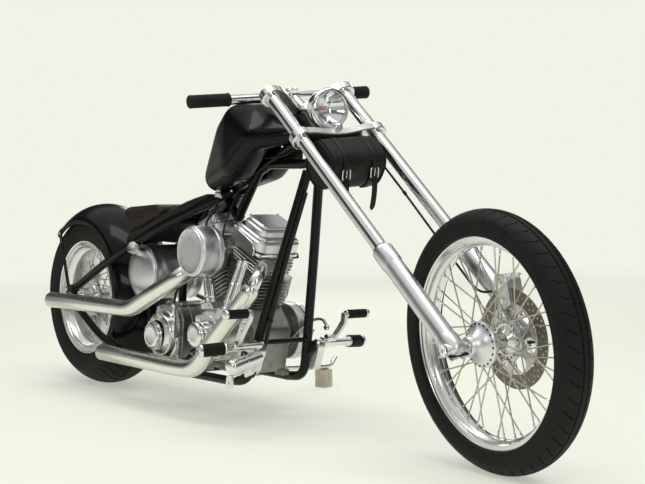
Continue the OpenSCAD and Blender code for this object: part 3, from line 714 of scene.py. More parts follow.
def rimShape(flange, half, well, wellHalf, bead, beadHalf, **more):
    # Lipped flange, bead seat and dropped well, as one closed ring
    shape = Shape()
    side = [(flange - 3.0, half - 6.5), (flange - 0.6, half - 5.6), (flange + 0.8, half - 3.6),
            (flange + 1.0, half - 1.8), (flange + 0.2, half - 0.4), (flange - 1.4, half),
            (flange - 3.0, half - 0.8), (flange - 4.4, half - 2.4), (bead + 4, half - 3.4),
            (bead - 1.0, half - 4.4), (bead - 2.2, half - 6.5), (bead - 3, beadHalf + 3),
            (bead - 4.2, beadHalf), (well + 5.0, wellHalf + 2.6), (well + 1.2, wellHalf - 0.4),
            (well, wellHalf - 3)]
    section = side + [(r, -y) for r, y in reversed(side)]
    shape.lathe(section, "polished", segments=144)
    inside = [(well + 2.4, wellHalf - 4), (well + 6, wellHalf), (bead - 1, beadHalf + 4),
              (bead, half - 8), (flange - 3.0, half - 6.5)]
    back = [(r, -y) for r, y in reversed(inside)] + inside
    shape.lathe(back, "satin", segments=144)
    return shape


def spokeShape(hubR, hubY, rimY, sweep, nipple, well, **more):
    shape = Shape()
    count = 40
    for k in range(count):
        side = 1 if k % 2 == 0 else -1
        way = 1 if (k // 2) % 2 == 0 else -1
        a = 2 * pi * k / count
        b = a + way * radians(sweep)
        hub = Vector((hubR * cos(b), side * (hubY + way * 4.2), hubR * sin(b)))
        rim = Vector(((well + 1) * cos(a), side * rimY + way * 2.2, (well + 1) * sin(a)))
        along = (rim - hub).normalized()
        elbow = Vector((hub.x, side * (hubY - way * 2), hub.z))
        shape.tube(smoothRoute([elbow, hub, hub + along * 12, rim - along * (nipple + 2)], 5, 5), 2.0,
            "spoke", sides=12)
        shape.lathe([(0, 0), (2.4, 0), (3.6, 0.8), (3.6, 2.2), (2.4, 3), (0, 3)], "spoke",
            here(elbow) @ Matrix.Scale(way, 4, (0, 1, 0)) @ here((0, -1.5, 0)), 14)
        shape.rod(rim - along * (nipple + 3), rim - along * 3, 2.9, "chrome", sides=6)
        shape.rod(rim - along * 5, rim + along * 1.5, 4.2, "chrome", sides=14)
    return shape


def flangeDisc(shape, radius, y0, y1, finish, holes, holeR, holeAt, boss, bites):
    # Hub flange with scalloped rim and lightening holes
    rim = []
    for i in range(240):
        a = 2 * pi * i / 240
        out = radius - bites * (0.5 + 0.5 * cos(a * holes))
        rim.append((out * cos(a), out * sin(a)))
    cut = [circlePoints(holeR, 14, spot) for spot in circlePoints(holeAt, holes, start=pi / holes)]
    shape.plate(rim, y0, y1, finish, bevel=0.8, holes=[circlePoints(boss, 40)] + cut)


def frontHubShape():
    shape = Shape()
    for s in (1, -1):
        flangeDisc(shape, 53, s * 38, s * 46, "polished", 20, 3.4, 46.5, 24, 3.0)
        shape.lathe([(22, 0), (22.4, s * 12), (24, s * 26), (32, s * 34), (38, s * 38)], "polished",
            segments=64)
    # Flared flange covers, drilled all round; the holes are near-black plugs, painted shade in place of open
    # holes
    shape.lathe([(52, -36.5), (59, -37), (60.5, -39), (60.5, -44), (58.5, -46), (54, -48.4), (46, -53),
        (38, -61), (32, -70), (28, -80), (26.5, -88), (24, -91), (15.2, -91)], "satin", segments=96)
    shape.lathe([(52, 36.5), (59, 37), (60.5, 39), (60.5, 44), (58.5, 46), (52, 48.4), (42, 53), (36, 60),
        (34, 63)], "satin", segments=96)
    for i in range(20):
        c, d = cos(pi * i / 10), sin(pi * i / 10)
        for y0, y1 in ((-46, -49.2), (46, 49.4)):
            shape.rod((54 * c, y0, 54 * d), (54 * c, y1, 54 * d), 3.3, "holeShade", sides=12, bevel=0.2)
    # Carrier of the brake disc
    shape.disc((0, 0), 48, 70.5, 34, "polished", segments=64)
    for x, z in circlePoints(25, 5, start=0.3):
        shape.bolt((x, 70.3, z), (0, 1, 0), 5, "chrome", kind="dome", height=4)
    return shape


def discShape(radius, bore, y0, y1, carrier, windows, windowR, windowAt, rings, finish="disc"):
    # Brake disc: drilled band on a lighter carrier with round windows
    shape = Shape()
    cuts = [circlePoints(carrier - 5, 96)]
    for ring, holes, size, phase in rings:
        cuts += [circlePoints(size, 12, spot) for spot in circlePoints(ring, holes,
            start=2 * pi * phase / holes)]
    shape.plate(circlePoints(radius, 160), y0, y1, finish, bevel=0.5, holes=cuts)
    cuts = [circlePoints(bore, 40)]
    for i in range(windows):
        a = 2 * pi * i / windows
        cuts.append(circlePoints(windowR, 28, (windowAt * cos(a), windowAt * sin(a))))
        b = a + pi / windows
        shape.bolt((carrier * cos(b), y0, carrier * sin(b)), (0, -1, 0), 5, "chrome", kind="dome", height=2)
    shape.plate(circlePoints(carrier, 96), y0 - 1, y1 + 1, "satin", bevel=1, holes=cuts)
    return shape


rimShape(**wheels["front"]).finish("frontRim", frontWheel, "front_wheel", "polished_aluminium", ["front_rim"])
rimShape(**wheels["rear"]).finish("rearRim", rearWheel, "rear_wheel", "polished_aluminium", ["rear_rim"])
spokeShape(**wheels["front"]).finish("frontSpokes", frontWheel, "front_wheel", "spoke_steel",
    ["front_spokes"])
spokeShape(**wheels["rear"]).finish("rearSpokes", rearWheel, "rear_wheel", "spoke_steel", ["rear_spokes"])
frontHubShape().finish("frontHub", frontWheel, "front_wheel", "polished_aluminium", ["front_hub"])
discShape(133, 30, 64.5, 69, 95, 6, 21, 68, [(126, 30, 3.2, 0), (116, 30, 3.2, 0.5),
    (106, 30, 3.0, 0)]).finish("frontDisc", frontWheel, "front_wheel", "disc_steel", ["front_disc"])


def rearHubShape():
    shape = Shape()
    for s in (1, -1):
        flangeDisc(shape, 71, s * 61, s * 71, "polished", 20, 3.6, 63.5, 33, 3.4)
        shape.lathe([(34, 0), (34.4, s * 30), (36, s * 48), (44, s * 58), (50, s * 61)], "polished",
            segments=64)
    shape.lathe([(50, -71), (48, -74), (34, -76), (32, -84), (30, -110), (28, -112), (14, -112)],
        "polished", segments=64)
    shape.lathe([(50, 71), (48, 76), (45, 79), (45, 120), (47, 122), (47, 123.2), (14, 123.2)], "polished",
        segments=64)
    for x, z in circlePoints(1, 5, start=0.3):
        shape.bolt((23 * x, -84, 23 * z), (0, -1, 0), 4.5, "chrome", kind="dome", height=3)
        shape.bolt((22 * x, 131, 22 * z), (0, 1, 0), 4.6, "chrome", height=2.2)
    return shape


def sprocketShape(teeth=44, pitch=15.875):
    # Toothed and drilled, because the brake works on it as well
    at = pitch / (2 * sin(pi / teeth))
    rim = []
    for i in range(teeth):
        for part, r in ((0.0, at - 4.8), (0.1, at - 4.0), (0.22, at - 0.5), (0.36, at + 3.0),
                (0.5, at + 4.0), (0.64, at + 3.0), (0.78, at - 0.5), (0.9, at - 4.0)):
            a = 2 * pi * (i + part) / teeth
            rim.append((r * cos(a), r * sin(a)))
    cuts = [circlePoints(15, 40)]
    cuts += [circlePoints(15, 24, spot) for spot in circlePoints(66, 6, start=pi / 6)]
    for ring, holes, size, phase in ((97, 30, 3.2, 0), (88, 30, 3.2, 0.5)):
        cuts += [circlePoints(size, 12, spot) for spot in circlePoints(ring, holes,
            start=2 * pi * phase / holes)]
    shape = Shape()
    shape.plate(rim, 124.5, 130.5, "disc", bevel=0.8, holes=cuts)
    return shape


rearHubShape().finish("rearHub", rearWheel, "rear_wheel", "polished_aluminium", ["rear_hub"])
sprocketShape().finish("rearSprocket", rearWheel, "rear_wheel", "disc_steel", ["rear_sprocket"])
print("wheels made")


# Fork

forkParts = {"offset": forkOffset * 1000, "half": 130, "tube": 20.5, "slider": 30, "sliderLength": 405,
    "axle": axleDown * 1000, "plate": 28, "top": 22, "low": -180, "tubeTop": 52}


def smooth(t):
    t = max(0.0, min(1.0, t))
    return t * t * (3 - 2 * t)


def clampOutline(ahead, behind, offset, half, radius=33):
    # Fork clamp seen along the fork: arms that swell from the middle out to the two rings
    split = half - 14
    reach = sqrt(radius ** 2 - 14 ** 2)
    front, rear = [], []
    for i in range(49):
        y = -split + 2 * split * i / 48
        t = smooth(abs(y) / split)
        front.append((ahead + (offset + reach - ahead) * t, y))
        rear.append((behind + (offset - reach - behind) * t ** 1.4, y))
    ringUp = [(offset + radius * cos(a), half + radius * sin(a)) for a in np.linspace(-0.43, pi + 0.43, 26)]
    ringDown = [(x, -y) for x, y in ringUp]
    return front + ringUp + rear[::-1] + ringDown[::-1]


def upperClampShape(offset, half, plate, top, **more):
    shape = Shape()
    outline = [(x, -y) for x, y in clampOutline(30, -33, offset, half)]
    shape.plate(outline, top, top + plate, "polished", alongZ, bevel=2.2,
        holes=[circlePoints(20.7, 40, (offset, s * half)) for s in (1, -1)])
    # Stem nut and its cap
    shape.lathe([(22, top + plate - 1), (22, top + plate + 4), (19, top + plate + 6), (0, top + plate + 6)],
        "chrome", alongZ, 40)
    shape.lathe([(15, top + plate + 5), (15, top + plate + 14), (12, top + plate + 18),
        (0, top + plate + 20)], "chrome", alongZ, 6)
    for s in (1, -1):
        for rise in (7, 21):
            shape.bolt((offset - 29, s * (half - 24), top + rise), (-1, -s * 0.35, 0), 5, "chrome",
                kind="socket")
        # Risers up to the handlebar, with split clamps
        foot, grip = Vector((-4, s * 40, top + plate - 3)), Vector((-21, s * 40, 155))
        along = (grip - foot).normalized()
        line = [foot, foot + along * 6, foot + along * 12, foot + along * 30, grip - along * 26,
            grip - along * 14, grip]
        shape.tube(line, [21, 20, 17, 14.2, 14.2, 17, 18], "polished", sides=36)
        hold = here((-21, s * 40, 155)) @ alongZ @ Matrix.Rotation(-pi / 2, 4, "X")
        shape.lathe([(16.0, -17), (24, -17), (25.6, -15.5), (25.6, 15.5), (24, 17), (16.0, 17)], "polished",
            hold, 48)
        for away in (-9, 9):
            for side in (1, -1):
                shape.bolt((-21 + 20.5 * side, s * 40 + away, 163), (0.35 * side, 0, 1), 4, "chrome",
                    kind="socket", height=6)
    return shape


def lowerClampShape(offset, half, plate, low, **more):
    shape = Shape()
    outline = [(x, -y) for x, y in clampOutline(95, -30, offset, half)]
    shape.plate(outline, low, low + plate, "polished", alongZ, bevel=2.6,
        holes=[circlePoints(20.7, 40, (offset, s * half)) for s in (1, -1)])
    shape.lathe([(0, low - 4), (16, low - 4), (19, low - 1), (19, low + 2)], "chrome", alongZ, 40)
    shape.lathe([(15.9, low + plate - 1), (15.9, 24)], "satin", alongZ, 40)
    for s in (1, -1):
        for rise in (7, 21):
            shape.bolt((offset - 30, s * (half - 22), low + rise), (-1, -s * 0.35, 0), 5, "chrome",
                kind="socket")
        # Steering stops
        shape.rod((-8, s * 30, low + plate - 2), (-8, s * 30, low + plate + 6), 5, "polished")
    return shape


def forkTubeShape(offset, half, tube, axle, sliderLength, tubeTop, **more):
    shape = Shape()
    sliderTop = axle - 20 + sliderLength
    for s in (1, -1):
        spot = here((offset, s * half, 0)) @ alongZ
        shape.lathe([(tube, sliderTop - 90), (tube, tubeTop - 1.5), (tube - 1.5, tubeTop), (15, tubeTop),
            (14, tubeTop + 2), (14, tubeTop + 6), (12.6, tubeTop + 7.5), (0, tubeTop + 7.5)], "chrome",
            spot, 64)
        # Socket recess in the fork cap, painted near-black as shade
        shape.lathe([(6.5, tubeTop + 7.4), (6.5, tubeTop + 7.7), (5.8, tubeTop + 4), (0, tubeTop + 4)],
            "holeShade", spot, 6)
    return shape


def sliderShape(offset, half, slider, axle, sliderLength, tube, **more):
    shape = Shape()
    bottom, top = axle - 20, axle - 20 + sliderLength
    for s in (1, -1):
        spot = here((offset, s * half, 0)) @ alongZ
        line = [(0, bottom - 1), (13, bottom - 1), (20, bottom + 1), (26, bottom + 6), (29, bottom + 14),
            (slider, bottom + 24), (slider, bottom + 52), (28.4, bottom + 58), (27.6, bottom + 66),
            (27.6, top - 74), (28.4, top - 66), (slider, top - 60), (slider, top - 14),
            (slider - 1, top - 8), (slider - 4, top - 2), (slider - 6.5, top), (tube + 1.6, top + 0.4)]
        shape.lathe(line, "satin", spot, 72)
        shape.lathe([(slider - 5, top), (slider - 6, top + 1.6), (tube + 0.3, top + 1.8)], "cable", spot, 60)
        # Axle boss with its clamp slot and pinch bolts; the slot is a thin near-black block, painted shade
        boss = here((offset, 0, axle))
        shape.lathe([(10.4, s * 100), (17, s * 100), (18, s * 101), (18, s * 160), (17, s * 162),
            (10.4, s * 162)], "satin", boss, 60)
        shape.block((offset - 1.2, s * half - 31.5, axle - 26), (offset + 1.2, s * half + 31.5, axle - 8),
            "holeShade", radius=0.4, bevel=0.2)
        for away in (-18, 18):
            shape.bolt((offset - 12, s * half + away, axle - 22), (-1, 0, -0.4), 4.6, "chrome", kind="socket")
        # Drain and damper bolts
        shape.bolt((offset - 29, s * half, bottom + 62), (-1, 0, 0), 5, "chrome", height=4)
        shape.bolt((offset, s * half, bottom - 0.5), (0, 0, -1), 8, "chrome", kind="socket", height=3)
    return shape


def axleShape(offset, axle, **more):
    # Hollow axle, with its nut, collar and spacers
    shape = Shape()
    spot = here((offset, 0, axle))
    shape.lathe([(5, -168), (9, -168), (10, -167), (10, 167), (9, 168), (5, 168)], "chrome", spot, 48,
        closed=True)
    for s in (1, -1):
        shape.lathe([(10.1, s * 163), (15.5, s * 163), (15.5, s * 166.5), (14, s * 168.5),
            (10.1, s * 168.5)], "chrome", spot, 6)
    shape.lathe([(10.1, -97), (14.5, -97), (15, -96), (15, -66), (14.5, -64.5), (10.1, -64.5)], "chrome",
        spot, 40)
    shape.lathe([(10.1, 71.5), (14.5, 71.5), (15, 72.5), (15, 96), (14.5, 97), (10.1, 97)], "chrome", spot,
        40)
    return shape


def frontCalliperShape():
    shape = Shape()
    lay = here((82, 78, 96)) @ Matrix.Rotation(radians(40), 4, "Y")
    outline = roundedOutline([(-25, -46), (16, -46), (26, -30), (26, 30), (16, 46), (-25, 46)], 12, 6)
    shape.plate(outline, -27, -16.5, "satin", lay, bevel=3)
    shape.plate(outline, -2.5, 27, "satin", lay, bevel=4)
    shape.plate(roundedOutline([(4, -44), (16, -46), (26, -30), (26, 30), (16, 46), (4, 44)], 8, 5), -17,
        -2, "satin", lay, bevel=0.5)
    for z in (-22, 22):
        shape.lathe([(0, 31), (9, 31), (12, 30), (14.5, 27), (14.5, 24)], "polished",
            lay @ here((-4, 0, z)), 36)
        shape.lathe([(0, -29.5), (9, -29.5), (12, -28.5), (13.5, -26.5)], "polished",
            lay @ here((-4, 0, z)), 36)
    for z in (-38, 0, 38):
        shape.bolt((19, 27, z), (0, 1, 0), 4.6, "chrome", lay, kind="socket", height=3.5)
    for y in (-14, -5):
        shape.block((-21, y, -32), (3, y + 2.6, 32), "disc", lay, radius=3)
    # Arms to the slider
    for z, reach in ((-34, (10, 128, 22)), (34, (28, 128, 120))):
        start = lay @ Vector((-14, 22, z))
        shape.tube(smoothRoute([start, start + Vector((-16, 22, 0)), Vector(reach)], 14, 6), 8, "satin",
            sides=18)
    return shape


def handlebarShape():
    shape = Shape()
    spot = here((-21, 0, 155))
    shape.lathe([(13.6, -319), (15.3, -319), (15.9, -318.4), (15.9, 318.4), (15.3, 319), (13.6, 319)],
        "chrome", spot, 48, closed=True)
    return shape


def gripShape():
    # Ribbed rubber sleeves with a collar and a rounded end
    shape = Shape()
    for s in (1, -1):
        spot = here((-21, 0, 155))
        line = [(16, s * 187), (20.4, s * 187), (21.2, s * 188.2), (21.2, s * 191), (20, s * 193),
            (18.8, s * 195)]
        for i in range(26):
            y = 197 + i * 4.4
            line += [(19, s * y), (20, s * (y + 0.8)), (20, s * (y + 2.8)), (19, s * (y + 3.6))]
        line += [(19.4, s * 313), (20.4, s * 315), (20.4, s * 320), (18.8, s * 322.4), (14, s * 323),
            (0, s * 323)]
        shape.lathe(line, "grip", spot, 44)
    return shape


lampAt = here((121, 0, -93)) @ Matrix.Rotation(pi / 2 + rake, 4, "Y") @ alongZ


def headlightShape():
    shape = Shape()
    shape.lathe([(0, -78), (10, -78), (22, -76.6), (34, -72), (44, -65), (51.5, -55), (55.6, -44),
        (57, -34), (57, -17), (58, -15.4)], "chrome", lampAt, 72)
    # Bezel
    shape.lathe([(57, -18), (60.5, -17.5), (63, -14), (63.6, -9), (63, -3.5), (60.8, 0.6), (57.5, 2.8),
        (54, 3.2), (51.2, 1.6), (50.2, -1), (50.2, -6)], "polished", lampAt, 96)
    # Fluted reflector
    rows = []
    for i in range(15):
        t = i / 14
        r = 50 * (1 - t) + 9 * t
        y = -5 - 30 * (1 - (r / 50) ** 2)
        rows.append([((r + 0.5 * (k % 2) * (1 - t)) * cos(2 * pi * k / 96), y,
            (r + 0.5 * (k % 2) * (1 - t)) * sin(2 * pi * k / 96)) for k in range(96)])
    shape.grid(rows, "reflector", lampAt)
    shape.lathe([(9.4, -36), (9.4, -33), (6, -32), (5, -30), (0, -30)], "steel", lampAt, 32)
    shape.lathe([(4.6, -30.5), (5.4, -25), (5.2, -18), (3.4, -13.6), (0, -12.4)], "reflector", lampAt, 28)
    # Amber side bulb in the reflector
    amberAt = lampAt @ here((-2, 0, 17))
    shape.lathe([(5.4, -30), (5.6, -22), (4.6, -17), (2.4, -14.6), (0, -14)], "amber", amberAt, 28)
    # Three near-black domes on the bezel, painted shade for its screw holes
    for angle in (90, 210, 330):
        a = radians(angle)
        shape.bolt((56.4 * cos(a), 2.6, 56.4 * sin(a)), (0, 1, 0), 3.4, "holeShade", lampAt, kind="dome",
            height=1.4)
    # Stalk up to the lower clamp
    shape.block((84, -11, -156), (106, 11, -134), "polished", None, 3, 2)
    shape.lathe([(0, -158), (13, -158), (15, -155), (15, -150), (13, -148)], "chrome",
        here((95, 0, 0)) @ alongZ, 36)
    for y in (1, -1):
        shape.bolt((95, y * 11, -141), (0, y, 0), 5, "chrome", kind="socket", height=4)
    return shape


def lensShape():
    shape = Shape()
    front = [(0, 8), (9, 7.8), (20, 6.8), (32, 4.8), (42, 2.4), (49.6, -0.6)]
    shape.lathe(front + [(49.6, -2.4), (40, 0.6), (24, 3.9), (0, 5.4)], "lens", lampAt, 96)
    return shape


bag = {"middle": (44, 0, -252), "from": -105, "to": 84, "radius": 66, "straps": (-54, 44), "buckle": 76,
    "tails": (84, 100)}


def bagSection(angle, grow=0.0):
    # Point round the bag: a roll with a flattened front and a deeper belly; angle 0 points ahead
    c, d = cos(angle), sin(angle)
    reach = (abs(c) ** 2.7 + abs(d) ** 2.7) ** (-1 / 2.7)
    r = bag["radius"] * (reach if c * 0.63 - d * 0.78 > 0 else 1 + (reach - 1) * 0.4) + grow
    return Vector((r * c, 0, r * d))


def bagShape():
    # Leather roll hung below the clamp, with buckled straps
    shape = Shape()
    middle = Vector(bag["middle"])
    centre, half = (bag["from"] + bag["to"]) / 2, (bag["to"] - bag["from"]) / 2
    lift = Vector((0, centre, 0))
    rows = []
    for i in range(61):
        y = -half + 2 * half * i / 60
        end = smooth((half - abs(y)) / 9)
        row = []
        for k in range(96):
            a = 2 * pi * k / 96
            strap = min(abs(y + centre - w) for w in bag["straps"])
            swell = 1.2 * sin(3 * a + y / 31) + 0.8 * sin(5 * a - y / 17) - 5 * (1 - end)
            row.append(middle + bagSection(a, swell - 2.2 * exp(-(strap / 11) ** 2))
                + Vector((0, y + centre, 0)))
        rows.append(row)
    shape.grid(rows, "bagLeather")
    for s in (1, -1):
        # End panel with its bound seam
        disc = [[middle + lift + bagSection(2 * pi * k / 96) * t + Vector((0, s * (half - 3 + 2 * t), 0))
            for k in range(96)] for t in (0.02, 0.3, 0.6, 0.85, 0.93)]
        shape.grid(disc, "bagLeather")
        seam = [middle + lift + bagSection(2 * pi * k / 72, -3) + Vector((0, s * half, 0)) for k in range(73)]
        shape.tube(seam, 2.4, "bagLeather", sides=10, caps=False)
    # Flap with its edge
    flap = []
    for i in range(31):
        a = radians(120 - 168 * i / 30)
        flap.append([middle + lift + bagSection(a, 2.2 + rise) + Vector((0, y, 0))
            for y, rise in ((4 - half, -2.4), (5 - half, 0.2), (-40, 0.5), (0, 0.6), (40, 0.5),
            (half - 5, 0.2), (half - 4, -2.4))])
    flap.append([p + (middle - p).normalized() * 2.6 for p in flap[-1]])
    shape.grid(flap, "bagLeather", closeRound=False)
    down = here(middle) @ Matrix.Rotation(rake, 4, "Y")
    for y, reach in zip(bag["straps"], bag["tails"]):
        line = [[middle + bagSection(2 * pi * i / 72, out) + Vector((0, y + w, 0))
            for w, out in ((-10, 0), (-10.2, 4), (-8.6, 4.8), (8.6, 4.8), (10.2, 4), (10, 0))]
            for i in range(73)]
        shape.grid(line, "seatLeather", closeRound=False)
        # Buckle, prong and keeper on the lower front
        low = radians(bag["buckle"])
        out = bagSection(-low, 6.4)
        lay = here(middle + Vector((0, y, 0))) @ here(out) @ Matrix.Rotation(low * 0.84, 4, "Y")
        frameLine = roundedOutline([(-13, -14), (13, -14), (13, 14), (-13, 14)], 4, 4)
        loop = [Vector((0, p[0], p[1])) for p in frameLine]
        shape.tube(loop + [loop[0]], 1.9, "chrome", lay, 12, False)
        shape.rod((0.6, 0, -13), (1.6, 0, 14), 1.2, "chrome", lay, 10)
        shape.block((-1.6, -11.8, -27), (1.4, 11.8, -20), "seatLeather", lay, 1)
        # Tail hanging straight down from the buckle
        start = down.inverted() @ (middle + Vector((0, y, 0)) + out)
        tail = []
        for i in range(15):
            t = i / 14
            at = start + Vector((-2 - 16 * t * t, -7 * t * t, -10 - reach * t))
            w = 9 if t < 0.85 else 9 * sqrt(max(0.04, 1 - ((t - 0.85) / 0.15) ** 2))
            tail.append([at + Vector((0, -w, 0)), at + Vector((1.6, -w, 0)), at + Vector((1.6, w, 0)),
                at + Vector((0, w, 0))])
        shape.grid(tail, "seatLeather", down, True, True)
        # Loop round the clamp
        shape.block((26, y - 9, -190), (66, y + 9, -181), "seatLeather", None, 3)
    return shape


hoseRoute = [(132, 90, -888), (96, 88, -880), (52, 92, -830), (48, 98, -700), (40, 114, -400),
    (36, 118, -240), (30, 112, -186), (24, 96, -120), (26, 70, -20), (22, 60, 18)]


def hoseShape():
    shape = Shape()
    route = smoothRoute(hoseRoute, 40, 8)
    shape.tube(route, 3.4, "cable", sides=14)
    for a, b in ((0, 1), (-1, -2)):
        start, along = route[a], (route[b] - route[a]).normalized()
        shape.rod(start, start + along * 20, 4.6, "chrome", sides=6)
        shape.rod(start + along * 18, start + along * 28, 4.2, "chrome", sides=18)
    for spot in ((48, 98, -700), (40, 114, -400)):
        shape.rod(Vector(spot) + Vector((0, 0, -7)), Vector(spot) + Vector((0, 0, 7)), 5, "cable", sides=18)
    return shape


upperClampShape(**forkParts).finish("upperClamp", fork, "steering", "polished_aluminium", ["upper_clamp"])
lowerClampShape(**forkParts).finish("lowerClamp", fork, "steering", "polished_aluminium", ["lower_clamp"])
forkTubeShape(**forkParts).finish("forkTubes", fork, "steering", "chrome", ["fork_tubes"])
sliderShape(**forkParts).finish("forkSliders", fork, "steering", "satin_aluminium", ["fork_sliders"])
axleShape(**forkParts).finish("frontAxle", fork, "steering", "chrome", ["front_axle"])
handlebarShape().finish("barTube", fork, "steering", "chrome", ["handlebar"])
gripShape().finish("barGrips", fork, "steering", "grip_rubber", ["grips"])
headlightShape().finish("headlamp", fork, "steering", "chrome", ["headlight"])
lensShape().finish("headlightLens", fork, "steering", "lamp_glass", ["headlight_lens"])
bagShape().finish("toolBag", fork, "steering", "bag_leather", ["tool_bag"], 40)
hoseShape().finish("brakeHose", fork, "steering", "cable_black", ["brake_hose"])
forkAxle = fork @ Matrix.Translation(frontHub)
frontCalliperShape().finish("frontCalliper", forkAxle, "steering", "satin_aluminium", ["front_caliper"])
print("fork made")


# Frame

frameTubes = {
    "backbone": ([(1262, 0, 899.5), (855, 0, 732), (696, 0, 674)], 19, 40),
    "second": ([(1318, 0, 836), (1270, 0, 812), (1050, 0, 812), (1003, 0, 790), (884, 0, 636)], 15, 40),
    "brace": ([(812, 0, 712), (886, 0, 634)], 14, 20),
    "seatPost": ([(704, 0, 674), (600, 0, 560), (545, 0, 440), (535, 0, 300), (535, 0, 136)], 14, 60),
}
sideTubes = {"down": ([(1294, 22, 790), (1218, 60, 525), (1130, 100, 225), (1108, 106, 140),
    (1005, 112, 130)], 15, 60), "lower": ([(1012, 112, 130), (700, 118, 128), (420, 130, 140),
    (235, 149, 196), (22, 150, 305)], 14, 70), "seat": ([(876, 14, 726), (791, 58, 684), (579, 100, 606),
    (420, 124, 540), (250, 146, 462), (22, 150, 356)], 14, 60),}
crossTubes = [((1150, -84, 262), (1150, 84, 262), 8), ((700, -116, 128), (700, 116, 128), 11),
              ((450, -128, 140), (450, 128, 140), 11), ((640, -84, 622), (640, 84, 622), 11),
              ((372, -125, 521), (372, 125, 521), 11)]
headAt = here((1250, 0, 940)) @ Matrix.Rotation(-rake, 4, "Y")
axlePlate = [(-36, 352), (-14, 372), (30, 372), (52, 300), (20, 284), (-36, 300)]


def bead(shape, centre, along, radius, finish="frame", thick=2.6, at=None):
    # Weld bead: a ring of small overlapping scallops
    centre, along = Vector(centre), Vector(along).normalized()
    across = unitAcross(along)
    other = along.cross(across)
    steps = max(40, int(radius * 7))
    rows = []
    for i in range(steps):
        a = 2 * pi * i / steps
        out = across * cos(a) + other * sin(a)
        size = thick * (0.78 + 0.22 * abs(sin(i * pi / 4)))
        rows.append([centre + out * (radius + size * 0.7 * cos(b)) + along * size * sin(b)
            for b in (2 * pi * k / 8 for k in range(8))])
    shape.grid(rows + [rows[0]], finish, at)


def frameShape():
    shape = Shape()
    for points, radius, cut in frameTubes.values():
        shape.tube(smoothRoute(points, cut, 10), radius, "frame", sides=36)
    for s in (1, -1):
        for points, radius, cut in sideTubes.values():
            shape.tube(smoothRoute([(x, y * s, z) for x, y, z in points], cut, 12), radius, "frame", sides=36)
        shape.plate(roundedOutline(axlePlate, 9, 5), s * 145, s * 155, "frame", bevel=1.4,
            holes=[circlePoints(12.6, 32, (0, axleHeight * 1000))])
        lug = [(1120, 190), (1166, 226), (1160, 262), (1125, 235)]
        shape.plate(roundedOutline(lug, 8, 4), s * 92, s * 104, "frame", bevel=1.5)
        for spot, along, radius in (((1143, s * 93, 262), (0, s, -0.1), 11),
                ((30, s * 150, 309), (200, 0, -100), 15), ((36, s * 150, 363), (220, 0, 105), 15),
                ((700, s * 105, 128), (0, 1, 0), 12), ((450, s * 115, 139), (0, 1, 0), 12),
                ((640, s * 78, 622), (0, 1, 0), 12), ((372, s * 116, 521), (0, 1, 0), 12),
                ((872, s * 20, 722), (85, -44 * s, 42), 16)):
            bead(shape, spot, along, radius)
    for a, b, radius in crossTubes:
        shape.tube([a, b], radius, "frame", sides=28)
    shape.lathe([(16.3, -150), (27, -150), (29, -148), (29, -136), (27, -132), (27, 2), (29, 6), (29, 18),
        (27, 20), (16.3, 20)], "frame", headAt @ alongZ, 72)
    bead(shape, (1222, 0, 882), (422, 0, 172), 20.5)
    bead(shape, (1292, 0, 823), (48, 0, 24), 16.5)
    bead(shape, (866, 0, 738), (155, 0, 58), 20)
    bead(shape, (822, 0, 702), (74, 0, -78), 15)
    bead(shape, (893, 0, 648), (119, 0, 154), 16)
    for outline in ([(1040, 806), (1085, 806), (1062, 818), (1015, 792)],
            [(1130, 815), (1235, 815), (1235, 872), (1180, 858)]):
        shape.plate(roundedOutline(outline, 4, 3), -3, 3, "frame", bevel=0.8)
    return shape


def rearAxleShape():
    shape = Shape()
    shape.lathe([(6, -164), (11.5, -164), (12.5, -163), (12.5, 163), (11.5, 164), (6, 164)], "chrome",
        segments=48, closed=True)
    for s in (1, -1):
        shape.lathe([(12.6, s * 155.3), (21, s * 155.3), (21, s * 156.8), (12.6, s * 156.8)], "steel",
            segments=36)
        shape.lathe([(12.6, s * 156.8), (19, s * 156.8), (19, s * 162), (17, s * 164), (12.6, s * 164)],
            "chrome", segments=6)
    return shape


frameShape().finish("frame", bike, "chassis", "frame_black_paint", ["frame_backbone", "frame_downtubes",
    "frame_right_rail", "frame_left_rail", "frame_cross_tubes", "frame_seat_rails"])
rearAxleShape().finish("rearAxle", rearWheel, "chassis", "chrome", ["rear_axle"])


# Tank, fender, seat and oil tank

def softCopy(node, name, voxel, smoothing, shrink=0.0):
    # Smooth skin over a CAD solid
    source = frame["nodes"][node]
    data = source.data.copy()
    data.materials.clear()
    made = bpy.data.objects.new(name, data)
    bpy.context.scene.collection.objects.link(made)
    data.transform(source.matrix_world)
    made.modifiers.new("remesh", "REMESH")
    made.modifiers["remesh"].mode = "VOXEL"
    made.modifiers["remesh"].voxel_size = voxel
    relax = made.modifiers.new("relax", "SMOOTH")
    relax.factor, relax.iterations = 0.5, smoothing
    if shrink:
        push = made.modifiers.new("push", "DISPLACE")
        push.strength, push.mid_level = shrink, 0.0
    bakeDown(made)
    return made


def bakeDown(made):
    graph = bpy.context.evaluated_depsgraph_get()
    data = bpy.data.meshes.new_from_object(made.evaluated_get(graph))
    made.modifiers.clear()
    old = made.data
    made.data = data
    bpy.data.meshes.remove(old)
    data.polygons.foreach_set("use_smooth", [True] * len(data.polygons))


